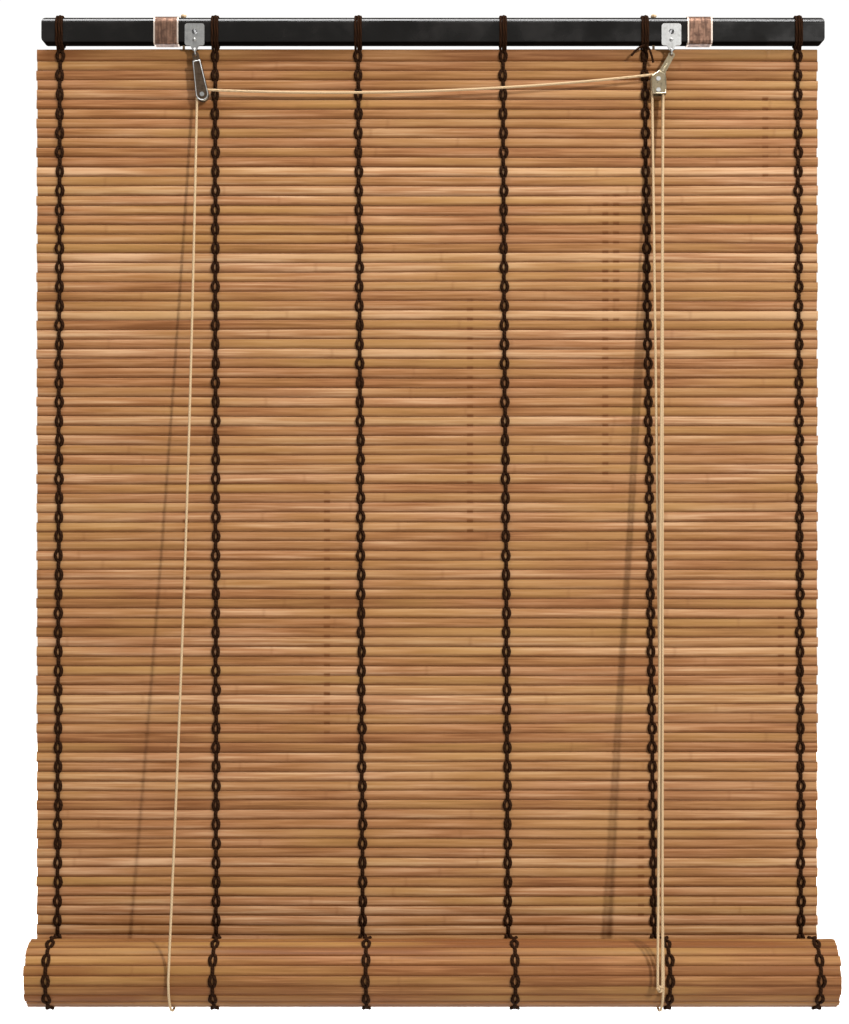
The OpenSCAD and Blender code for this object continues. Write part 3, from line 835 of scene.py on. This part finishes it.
@dataclass
class Slat:
    """One split bamboo slat, modelled once: flat behind and rounded in front."""

    plan: BlindPlan
    width: float = 7.62 * MM
    rounding: float = 1.0 * MM
    crown: float = 0.18 * MM
    stations: int = 6

    def model(self) -> Piece:
        """Models the slat lying along X at the origin, with its front to -Y.

        Returns:
            The mesh object, with its own map.
        """
        Bench.clear()
        bpy.ops.mesh.primitive_cube_add(size=1)
        slat = bpy.context.object
        slat.name = "slat"
        slat.scale = (self.plan.slat_l, self.plan.slat_t, self.width)
        Bench.settle(slat)
        front = -self.plan.slat_t / 2
        Bench.pick_edges(slat, lambda a, b: abs(a.x - b.x) > self.plan.slat_l / 2)
        bpy.ops.mesh.subdivide(number_cuts=self.stations - 1)
        Bench.pick_edges(slat, lambda a, b: abs(a.z - b.z) > self.width / 2 and max(a.y, b.y) < 0)
        bpy.ops.mesh.subdivide(number_cuts=1)
        Bench.pick_edges(slat, lambda a, b: max(abs(a.z), abs(b.z)) < MM / 10 and max(a.y, b.y) < 0)
        bpy.ops.transform.translate(value=(0, -self.crown, 0))
        Bench.pick_edges(slat, lambda a, b: abs(a.x - b.x) > MM and max(a.y, b.y) < front + MM / 10
                         and min(abs(a.z), abs(b.z)) > self.width / 3)
        bpy.ops.mesh.bevel(offset=self.rounding, segments=2)
        Bench.smooth(slat, 50)
        self.map(slat)
        return slat

    def map(self, slat: Piece) -> None:
        """Gives the slat a map in metres: along it, and round it by height and depth.

        Args:
            slat: The modelled slat.
        """
        layer = slat.data.uv_layers[0]
        layer.name = "slat_map"
        for loop in slat.data.loops:
            point = slat.data.vertices[loop.vertex_index].co
            layer.data[loop.index].uv = (point.x, point.z + point.y)

    @staticmethod
    def copy(slat: Piece, place: Callable[[Vector], Vector], tone: float,
             seed: float) -> Piece:
        """Copies the slat with its own mesh.

        Args:
            slat: The modelled slat.
            place: Moves a point of the slat to its place on the blind.
            tone: Shade of this slat, from 0 dark to 1 pale.
            seed: Number from 0 to 1 that sets its fibres and nodes.

        Returns:
            The copy.
        """
        mesh = slat.data.copy()
        for vertex in mesh.vertices:
            vertex.co = place(vertex.co)
        for name, value in (("slat_tone", tone), ("slat_seed", seed)):
            attribute = mesh.attributes.new(name, "FLOAT", "POINT")
            attribute.data.foreach_set("value", [value] * len(mesh.vertices))
        obj = bpy.data.objects.new("slat_copy", mesh)
        bpy.context.scene.collection.objects.link(obj)
        return obj


@dataclass
class SlatMat:
    """The hanging slats, in two pieces: a few that stay below the rail, and the others."""

    plan: BlindPlan
    finishes: Finishes
    staying: int = 13
    bow: float = 0.45 * MM
    top_growth: float = 1.7 * MM
    waves: float = 11
    drift: float = 0.3
    tilt: float = 0.1
    tone: tuple[float, float] = (0.49, 0.16)
    chance: random.Random = field(default_factory=lambda: random.Random(11))

    @property
    def split(self) -> float:
        """Height where the slats that stay end."""
        return self.plan.mat_top - self.staying * self.plan.slat_step

    @property
    def keep(self) -> float:
        """Share of its height that the lower part would keep with the roll raised to the top."""
        drop = self.split - self.plan.roll.z
        return (drop - self.plan.lift) / drop

    def gather(self, piece: Piece) -> None:
        """Gives a piece of the hanging part its own copy of its mesh."""
        self.split
        self.keep
        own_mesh(piece)

    def hang(self, slat: Piece, index: int) -> Piece:
        """Hangs one copy of the slat in its place.

        Args:
            slat: The modelled slat.
            index: Its number from the top.

        Returns:
            The copy.
        """
        plan = self.plan
        height = plan.mat_top - (index + 0.5) * plan.slat_step
        start = plan.mat_shift + plan.stray(index)
        phase = self.drift * index
        tilt = self.chance.uniform(-self.tilt, self.tilt)
        growth = self.top_growth if index == 0 else 0.0

        def place(point: Vector) -> Vector:
            """Moves a point of the slat to the hanging mat."""
            rise = self.bow * math.sin(self.waves * point.x + phase) * math.sin(4 * point.x + 0.2 * phase)
            high = height + point.z + (growth if point.z > 0 else 0.0)
            return Vector((point.x + start, plan.mat_y + point.y + tilt * point.z, high + rise))

        tone = min(1.0, max(0.0, self.chance.gauss(*self.tone)))
        return Slat.copy(slat, place, tone, self.chance.random())

    def build(self, slat: Piece) -> None:
        """Builds the two pieces of the hanging mat.

        Args:
            slat: The modelled slat.
        """
        copies = [self.hang(slat, index) for index in range(self.plan.slat_count)]
        upper = Bench.join(copies[:self.staying], "hanging_slats_upper")
        lower = Bench.join(copies[self.staying:], "hanging_slats_lower")
        for piece in (upper, lower):
            self.finishes.place(piece, Slot.BAMBOO, Body.HEAD, ["slat_mat"])
        self.gather(lower)


@dataclass
class SlatRoll:
    """The wound part of the mat: slats laid along a spiral."""

    plan: BlindPlan
    finishes: Finishes
    spread: float = 3 * MM
    shift: float = -0.6 * MM
    # The rolled slats take a much darker tone than the hanging ones: painted shade on the roll.
    tone: tuple[float, float] = (0.08, 0.16)
    chance: random.Random = field(default_factory=lambda: random.Random(23))

    def wind(self, slat: Piece, index: int) -> Piece:
        """Lays one copy of the slat on the spiral, with its round side out.

        Args:
            slat: The modelled slat.
            index: Its number from the outer end of the spiral.

        Returns:
            The copy.
        """
        plan = self.plan
        radius, angle = plan.spiral((index + 0.5) * plan.slat_step)
        out = Vector((0, math.cos(angle), -math.sin(angle)))
        round_ = Vector((0, -math.sin(angle), -math.cos(angle)))
        start = plan.roll + radius * out
        trim = plan.stray(index + 7) + self.shift
        stretch = 1 + 2 * self.spread / plan.slat_l

        def place(point: Vector) -> Vector:
            """Moves a point of the slat to the roll."""
            return Vector((trim + point.x * stretch, start.y, start.z)) - point.y * out + point.z * round_

        tone = min(1.0, max(0.0, self.chance.gauss(*self.tone)))
        return Slat.copy(slat, place, tone, self.chance.random())

    def build(self, slat: Piece) -> None:
        """Builds the roll of slats.

        Args:
            slat: The modelled slat.
        """
        copies = [self.wind(slat, index) for index in range(self.plan.roll_count)]
        roll = Bench.join(copies, "rolled_slats")
        self.finishes.place(roll, Slot.BAMBOO, Body.ROLL, ["slat_roll"])


class Strand(Enum):
    """Strands of one warp column: two that bow apart, and one between them."""

    LEFT = -1
    SINGLE = 0
    RIGHT = 1


@dataclass
class WarpStrings:
    """The columns of warp string: a pair in front of one slat, a single strand on the next."""

    plan: BlindPlan
    finishes: Finishes
    mat: SlatMat
    radius: float = 1.4 * MM
    neck: float = 0.5 * MM
    belly: float = 1.9 * MM
    overlap: float = 0.17
    steps: tuple[float, ...] = (0.0, 0.12, 0.3, 0.5, 0.7, 0.88)
    roll_slats: int = 19
    tie_r: float = 0.95 * MM
    tie_gap: float = 2.0 * MM
    tie_press: float = 0.8
    knot_size: float = 0.5 * MM
    knot_lean: float = -50
    knot_place: tuple[float, ...] = metres(-4.2, -0.8)
    loose_place: tuple[float, ...] = metres(-5.5, -1.5)
    loose_column: int = 4
    loose_ends: tuple[tuple[tuple[float, ...], ...], ...] = (
        (metres(0, 0, 0), metres(-4.5, -0.6, -2.4), metres(-8, -1, -5.2), metres(-10.5, -0.6, -8.6)),
        (metres(1, 0, 0), metres(3.4, -0.6, -4), metres(5.2, -0.4, -9), metres(6.4, 1, -13.5)))
    drift_top: tuple[float, ...] = metres(2.0, 1.2, 0.2, 0.6, -1.5, 0.8)
    drift_low: tuple[float, ...] = metres(0.0, 2.0, 4.0, 4.8, 6.4, 3.6)
    drift_roll: tuple[float, ...] = metres(-4.4, -0.7, 2.2, 2.2, 6.0, 2.2)
    chance: random.Random = field(default_factory=lambda: random.Random(5))

    def path(self, strand: Strand, first: int, last: int) -> list[tuple[float, float, float]]:
        """Follows a strand over a range of slats.

        Args:
            strand: Which strand of the column.
            first: Number of the first slat.
            last: Number after the last slat.

        Returns:
            Points as the offset along the slat, the run down the mat, and the rise to the front.
        """
        points = []
        reach = self.plan.slat_t / 2 + self.radius * 0.75
        for index in range(first, last):
            in_front = (index % 2 == 0) != (strand is Strand.SINGLE)
            belly = self.belly * self.chance.uniform(0.7, 1.08) if in_front else 0.0
            swerve = self.chance.uniform(-0.3, 0.3) * MM
            longer = self.overlap if in_front and strand is not Strand.SINGLE else -self.overlap
            for step in self.steps:
                swell = math.sin(math.pi * step)
                rise = (reach if in_front else -reach) * swell ** 0.35
                across = strand.value * (self.neck + belly * swell ** 0.7) + swerve * swell
                run = index + 0.5 + (step - 0.5) * (1 + longer * (1 - swell) * 2 * (0 < step))
                points.append((across, run * self.plan.slat_step, rise))
        points.append((strand.value * self.neck, last * self.plan.slat_step, 0.0))
        return points

    def hanging(self, column: int, first: int, last: int) -> list[list[Vector]]:
        """Follows the strands of a column down the hanging mat.

        Args:
            column: Its number from the left.
            first: Number of the first slat.
            last: Number after the last slat.

        Returns:
            The points of each strand, drifting sideways as the real string does.
        """
        plan = self.plan
        height = plan.slat_count * plan.slat_step
        top, low = self.drift_top[column], self.drift_low[column]

        def place(dx: float, run: float, rise: float) -> Vector:
            """Moves a point of the strand to the hanging mat."""
            x = plan.columns[column] + top + (low - top) * run / height
            return Vector((x + dx, plan.mat_y - rise, plan.mat_top - run))

        return [[place(*point) for point in self.path(strand, first, last)] for strand in Strand]

    def wound(self, column: int) -> list[list[Vector]]:
        """Follows the strands of a column round the outer turn of the roll.

        Args:
            column: Its number from the left.

        Returns:
            The points of each strand.
        """
        x = self.plan.roll_columns[column] + self.drift_roll[column]
        paths = [self.path(strand, 0, self.roll_slats) for strand in Strand]
        return [[self.plan.on_roll(x + dx, run, rise) for dx, run, rise in path] for path in paths]

    def loop(self, x: float) -> list[Vector]:
        """Winds one turn of string round the rail, and down to the first slat.

        Args:
            x: Place along the rail.

        Returns:
            The points of the turn.
        """
        plan = self.plan
        half = (plan.rail_high.y - plan.rail_low.y) / 2
        grow = half + self.tie_r * self.tie_press
        crest, foot = plan.rail_high.z - half, plan.rail_low.z - self.tie_r * self.tie_press
        turns = [math.radians(angle) for angle in range(0, 181, 15)]
        route = [(grow * math.cos(turn), crest + grow * math.sin(turn)) for turn in turns]
        front = [(-grow, foot + 2 * MM), (-grow * 0.8, foot), (-1.5 * MM, foot - 1.2 * MM)]
        route += [*front, (0, plan.mat_top), *((-y, z) for y, z in reversed(front))]
        return [Vector((x, plan.mat_y + y, z)) for y, z in route]

    def tie(self, column: int) -> Piece:
        """Ties a column to the rail with turns of string and a knot.

        Args:
            column: Its number from the left.

        Returns:
            The tie, with loose ends on one column.
        """
        plan, name = self.plan, f"rail_turns_{column + 1}"
        x = plan.columns[column] + self.drift_top[column]
        turns = [self.loop(x + side * self.tie_gap) for side in (-1, 0.1, 1)]
        parts = [Bench.tube(name, turns, self.tie_r, closed=True)]
        knot = Knot(self.tie_r, self.knot_size).model(f"rail_knot_{column + 1}")
        out, drop = self.knot_place
        Knot.move(knot, Vector((x, plan.mat_y + out, plan.rail_high.z + drop)), math.radians(self.knot_lean))
        parts.append(knot)
        if column == self.loose_column:
            out, drop = self.loose_place
            foot = Vector((x, plan.mat_y + out, plan.rail_low.z + drop))
            tails = [[foot + Vector(step) for step in steps] for steps in self.loose_ends]
            parts.append(Bench.tube(f"loose_ends_{column + 1}", tails, self.tie_r))
        return Bench.join(parts, name)

    def build(self) -> None:
        """Builds the strands on the mat, on the roll and round the rail."""
        plan = self.plan
        for column in range(len(plan.columns)):
            number = column + 1
            runs = self.hanging(column, 0, self.mat.staying)
            upper = Bench.tube(f"warp_upper_{number}", runs, self.radius)
            runs = self.hanging(column, self.mat.staying, plan.slat_count)
            lower = Bench.tube(f"warp_lower_{number}", runs, self.radius)
            for piece in (upper, lower):
                self.finishes.place(piece, Slot.STRING, Body.HEAD, [f"warp_pair_{number}"])
            self.mat.gather(lower)
            wound = Bench.tube(f"warp_roll_{number}", self.wound(column), self.radius)
            self.finishes.place(wound, Slot.STRING, Body.ROLL, [f"roll_warp_{number}"])
            self.finishes.place(self.tie(column), Slot.STRING, Body.HEAD, [f"rail_tie_{number}"])


@dataclass
class Knot:
    """An overhand knot in a cord, as a closed three-lobed loop."""

    radius: float
    size: float
    points: int = 48

    def model(self, name: str) -> Piece:
        """Models the knot round the origin, in the X-Z plane.

        Args:
            name: Name of the piece.

        Returns:
            The mesh object.
        """
        run = []
        for number in range(self.points):
            t = 2 * math.pi * number / self.points
            run.append(self.size * Vector((math.sin(t) + 2 * math.sin(2 * t), 1.2 * math.sin(3 * t),
                                           math.cos(t) - 2 * math.cos(2 * t))))
        return Bench.tube(name, [run], self.radius, closed=True)

    @staticmethod
    def move(knot: Piece, place: Vector, lean: float) -> None:
        """Leans a knot about X and sets it in its place."""
        knot.matrix_world = Matrix.Translation(place) @ Matrix.Rotation(lean, 4, "X")
        Bench.settle(knot)


@dataclass
class LiftCords:
    """The two lift cords, held all the way: behind the mat, under the roll and up to the wheels."""

    plan: BlindPlan
    finishes: Finishes
    radius: float = 0.95 * MM
    left_x: float = -192 * MM
    right_x: float = 170 * MM
    sling_r: float = 28.096 * MM
    wrap_r: float = 4.1 * MM
    groove: float = 1.6 * MM
    sag: float = 7 * MM
    knot_lift: float = 1.7 * MM
    left_slip: float = -3.8 * MM
    left_slack: float = 2.4 * MM
    loose_end: float = 25 * MM
    knot_size: float = 0.5 * MM
    knot_in: float = 0.4 * MM
    run_steps: int = 26
    back_steps: int = 12
    sling_steps: int = 36
    slip_steps: int = 12
    front_bends: int = 4

    def leave(self, wheel_y: float, wheel_z: float) -> float:
        """Angle, in radians from the top, where a cord leaves the roll towards a wheel."""
        across, up = wheel_y - self.plan.roll.y, wheel_z - self.plan.roll.z
        return math.acos(self.sling_r / math.hypot(across, up)) - math.atan2(across, up)

    def round_roll(self, x: float, angle: float) -> Vector:
        """A point of a sling, by its angle forward from the top of the roll."""
        return Vector((x, self.plan.roll.y - self.sling_r * math.sin(angle),
                       self.plan.roll.z + self.sling_r * math.cos(angle)))

    def over(self, wheel: Vector, y: float, start: float, end: float, count: int) -> list[Vector]:
        """Leads a cord over a wheel.

        Args:
            wheel: Middle of the wheel.
            y: Depth of the groove.
            start: Angle where it begins, in degrees.
            end: Angle where it ends.
            count: Number of steps.

        Returns:
            The points.
        """
        turns = [math.radians(start + (end - start) * k / count) for k in range(count + 1)]
        places = [(self.wrap_r * math.cos(turn), self.wrap_r * math.sin(turn)) for turn in turns]
        return [Vector((wheel.x + x, y, wheel.z + z)) for x, z in places]

    def strand(self, name: str, points: Sequence[Vector]) -> Piece:
        """Models a length of cord along points."""
        return Bench.tube(name, [points], self.radius, sides=10)

    def follow(self, name: str, points: Sequence[Vector], fitting: Body, near: Vector, far: Vector,
               nodes: Iterable[str]) -> Piece:
        """Builds a cord's end, with a fitting, a near point and a far point that are handed on but not
        applied.
        """
        piece = self.strand(name, points)
        return self.finishes.place(piece, Slot.CORD, Body.HEAD, nodes, (fitting, far, near))

    def shorten(self, piece: Piece) -> None:
        """Gives a straight run its own copy of its mesh."""
        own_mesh(piece)

    def raised(self, high: Vector, share: float) -> tuple[float, float]:
        """Finds where a run from a fixed end would lie on the raised roll.

        Args:
            high: The fixed end.
            share: Share of the way from the first touch (0) to the front of the roll (1).

        Returns:
            Depth and height of the point.
        """
        first = self.leave(high.y, high.z - self.plan.lift)
        point = self.round_roll(0, first + (math.pi / 2 - first) * share)
        return point.y, point.z + self.plan.lift

    def drape(self, name: str, route: Callable[[float], Vector], bends: Sequence[tuple[float, float]],
              nodes: Iterable[str]) -> list[tuple[Piece, list[Vector]]]:
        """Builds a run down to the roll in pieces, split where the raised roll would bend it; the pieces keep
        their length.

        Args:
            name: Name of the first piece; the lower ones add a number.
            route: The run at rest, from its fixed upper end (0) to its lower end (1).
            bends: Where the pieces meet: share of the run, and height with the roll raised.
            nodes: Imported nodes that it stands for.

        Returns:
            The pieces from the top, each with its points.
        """
        marks = [(0.0, route(0.0).z), *bends, (1.0, route(1.0).z + self.plan.lift)]
        pieces = []
        for index, ((here, high), (there, low)) in enumerate(zip(marks, marks[1:])):
            count = max(3, round((there - here) * self.run_steps))
            points = [route(here + (there - here) * step / count) for step in range(count + 1)]
            piece = self.strand(f"{name}_{index}" if index else name, points)
            self.finishes.place(piece, Slot.CORD, Body.HEAD, nodes)
            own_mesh(piece)
            pieces.append((piece, points))
        return pieces

    def side(self, name: str, x: float, wheel: Vector, wheel_y: float) -> None:
        """Builds one cord from its knot on the rail to its wheel.

        Args:
            name: Left or right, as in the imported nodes' names.
            x: Place of the cord along the roll.
            wheel: Middle of the wheel that it runs to.
            wheel_y: Depth of the groove.
        """
        plan = self.plan
        back_y = plan.roll.y + self.sling_r
        top = plan.rail_high.z + self.knot_lift
        ends = [Vector((x, back_y, plan.rail_low.z)), Vector((x, back_y, top))]
        stub = self.strand(f"{name}_lift_stub", ends)
        knot = Knot(self.radius, self.knot_size).model(f"{name}_lift_knot")
        Knot.move(knot, Vector((x, back_y - self.knot_in, top)), math.radians(90))
        stub = Bench.join([stub, knot], f"{name}_lift_stub")
        drop = plan.rail_low.z - plan.roll.z
        steps = [drop * k / self.back_steps for k in range(self.back_steps + 1)]
        run = [Vector((x, back_y, plan.roll.z + step)) for step in steps]
        back = self.strand(f"{name}_lift_back", run)
        for piece in (stub, back):
            self.finishes.place(piece, Slot.CORD, Body.HEAD, [f"{name}_cord_back"])
        self.shorten(back)
        start = self.leave(wheel_y, wheel.z)
        slip, slack = (self.left_slip, self.left_slack) if name == "left" else (0.0, 0.0)
        arc = []
        for k in range(self.sling_steps + 1):
            aside = slip * min(1.0, (self.sling_steps - k) / self.slip_steps)
            angle = start + (1.5 * math.pi - start) * k / self.sling_steps
            arc.append(self.round_roll(x + aside, angle))
        sling = self.strand(f"{name}_lift_sling", arc)
        self.finishes.place(sling, Slot.CORD, Body.SLINGS, [f"{name}_cord_sling"])
        foot = arc[0]
        head = Vector((wheel.x - self.wrap_r, wheel_y, wheel.z))
        part = 1 - self.loose_end / (head - foot).length

        def at(share: float) -> Vector:
            """A point of the front run, from the roll (0) to the wheel (1)."""
            return foot.lerp(head, share) + Vector((slack * math.sin(math.pi * share), 0, 0))

        bends = []
        for step in range(self.front_bends):
            y, z = self.raised(at(part), step / self.front_bends)
            bends.append((1 - (y - foot.y) / (head.y - foot.y) / part, z))
        self.drape(f"{name}_lift_front", lambda share: at(part * (1 - share)), bends, [f"{name}_cord_front"])
        fitting = Body.PULLEY if name == "left" else Body.LOCK
        end = [at(part + (1 - part) * k / 6) for k in range(7)]
        self.follow(f"{name}_lift_end", end, fitting, head, end[0], [f"{name}_cord_front"])

    def cross(self) -> None:
        """Builds the run over the pulley, across with a sag, and over the lock's front groove."""
        pulley, lock = self.plan.pulley, self.plan.lock
        span = lock - pulley
        rise = math.degrees(math.atan2(span.z, span.x))
        dip = math.degrees(math.atan(4 * self.sag / span.length))
        left = self.over(pulley, pulley.y, 180, 90 + rise - dip, 8)
        right = self.over(lock, lock.y - self.groove, 90 + rise + dip, 0, 8)
        hang = []
        for step in range(1, 20):
            t = step / 20
            drop = Vector((0, 0, 4 * self.sag * t * (1 - t)))
            hang.append(left[-1].lerp(right[0], t) - drop)
        run = self.strand("cross_run", hang[1:-1])
        self.finishes.place(run, Slot.CORD, Body.HEAD, ["cross_cord"])
        self.follow("cross_left_end", left + hang[:2], Body.PULLEY, left[-1], hang[1],
                    ["cross_cord", "left_cord_front"])
        self.follow("cross_right_end", hang[-2:] + right, Body.LOCK, right[0], hang[-2], ["cross_cord"])
        turn = self.strand("right_lift_turn", self.over(lock, lock.y + self.groove, 180, 0, 14))
        self.finishes.place(turn, Slot.CORD, Body.LOCK, ["right_cord_front"])

    def build(self) -> None:
        """Builds both lift cords and the run between the wheels."""
        plan = self.plan
        self.side("left", self.left_x, plan.pulley, plan.pulley.y)
        self.side("right", self.right_x, plan.lock, plan.lock.y + self.groove)
        self.cross()


@dataclass
class PullCords:
    """The two free pull cords below the lock, and the knot that ends them."""

    plan: BlindPlan
    finishes: Finishes
    lift: LiftCords
    apart: float = 1.7 * MM
    grip: float = 12.5 * MM
    bend: float = 29 * MM
    tail: float = 30 * MM
    knot_size: float = 0.72 * MM
    knot_top: float = 2.2 * MM

    def build(self) -> None:
        plan, lift = self.plan, self.lift
        knot = Knot(lift.radius, self.knot_size).model("pull_cord_knot")
        Knot.move(knot, plan.knot, 0.0)
        self.finishes.place(knot, Slot.CORD, Body.SLINGS, ["pull_knot"])
        for letter, side in (("a", -1), ("b", 1)):
            start = Vector((plan.lock.x + lift.wrap_r, plan.lock.y + side * lift.groove, plan.lock.z))
            end = plan.knot + Vector((side * self.apart, 0, self.knot_top))
            down = (end - start).normalized()
            held, low = start + down * self.grip, start + down * self.bend
            neck = [start.lerp(low, step / 12) for step in range(13)]
            y, z = lift.raised(low, 0.0)
            share = 1 - self.tail / (end - low).length
            slope = (z - low.z) / (y - low.y)
            bends = [(share, low.z + slope * (low.lerp(end, share).y - low.y))]
            upper = lift.follow(f"pull_end_{letter}", neck, Body.LOCK, held, low, [f"pull_cord_{letter}"])
            (cord, run), (tail, _) = lift.drape(f"pull_run_{letter}", functools.partial(low.lerp, end), bends,
                                                [f"pull_cord_{letter}"])


@dataclass
class Studio:
    """Camera, soft light and a plain pale floor."""

    plan: BlindPlan
    distance: float = 1.356
    camera_x: float = -0.0065
    camera_z: float = -0.36775
    focal_px: float = 1755
    image_h: float = 1024
    floor_half: float = 5.0
    floor_drop: float = 0.45

    def camera(self) -> None:
        """Sets the camera square to the blind, as the photograph has it."""
        Bench.clear()
        bpy.ops.object.camera_add(location=(self.camera_x, -self.distance, self.camera_z),
                                  rotation=(math.radians(90), 0, 0))
        camera = bpy.context.object
        camera.name = "camera"
        camera.data.sensor_width = 36
        camera.data.lens = camera.data.sensor_width * self.focal_px / self.image_h
        camera.data.clip_start = 0.01
        bpy.context.scene.camera = camera

    def lamp(self, name: str, place: Vector, aim: Vector, size: tuple[float, float], watts: float,
             spread: float = math.pi) -> None:
        """Adds an area light.

        Args:
            name: Name of the light.
            place: Where it stands.
            aim: Where it points.
            size: Its width and height.
            watts: Its power.
            spread: Angle of its beam.
        """
        Bench.clear()
        turn = (aim - place).to_track_quat("-Z", "Y").to_euler()
        bpy.ops.object.light_add(type="AREA", location=place, rotation=turn)
        light = bpy.context.object
        light.name = name
        light.data.shape = "RECTANGLE"
        light.data.size, light.data.size_y = size
        light.data.energy = watts
        light.data.spread = spread

    def sky(self) -> None:
        """Gives the room a white surround that lights the shaded sides softly."""
        world = bpy.data.worlds.new("white_room")
        world.use_nodes = True
        bpy.context.scene.world = world
        back = world.node_tree.nodes["Background"]
        back.inputs["Color"].default_value = (1, 0.99, 0.975, 1)
        path = world.node_tree.nodes.new("ShaderNodeLightPath")
        level = world.node_tree.nodes.new("ShaderNodeMapRange")
        level.inputs["To Min"].default_value = 0.31
        level.inputs["To Max"].default_value = 1.05
        world.node_tree.links.new(path.outputs["Is Camera Ray"], level.inputs["Value"])
        world.node_tree.links.new(level.outputs["Result"], back.inputs["Strength"])

    def floor(self) -> None:
        """Lays the floor below the roll."""
        Bench.clear()
        low = self.plan.roll.z - self.floor_drop
        bpy.ops.mesh.primitive_plane_add(size=2 * self.floor_half, location=(0, 0, low))
        floor = bpy.context.object
        floor.name = "floor"
        Bench.settle(floor)
        floor.data.materials.append(FloorFinish().material())

    def build(self) -> None:
        """Builds the studio."""
        self.camera()
        self.floor()
        self.sky()
        aim = Vector((0, 0, -0.36))
        self.lamp("key", Vector((2.3, -3.2, 1.5)), aim, (0.15, 0.15), 152)
        self.lamp("strip", Vector((-0.1, -0.4, 1.5)), Vector((0, 0, 0)), (1.7, 0.5), 52)
        self.lamp("floor_light", Vector((0, 3.3, 1.6)), Vector((0, 3.3, -1.1)), (9.0, 3.6), 330,
                  math.radians(70))
        bpy.context.scene.view_settings.view_transform = "Standard"


def main() -> None:
    """Builds the blind's pieces in order and reports them."""
    logging.basicConfig(level=logging.INFO, format="%(name)s: %(message)s")
    plan = BlindPlan.from_frame()
    Studio(plan).build()
    finishes = Finishes()
    lift = LiftCords(plan, finishes)
    lift.build()
    PullCords(plan, finishes, lift).build()
    Fittings(finishes).dress()
    PressedRims(plan, finishes).build()
    slat = Slat(plan).model()
    mat = SlatMat(plan, finishes)
    mat.build(slat)
    SlatRoll(plan, finishes).build(slat)
    bpy.data.objects.remove(slat)
    WarpStrings(plan, finishes, mat).build()


if __name__ == "__main__":
    main()
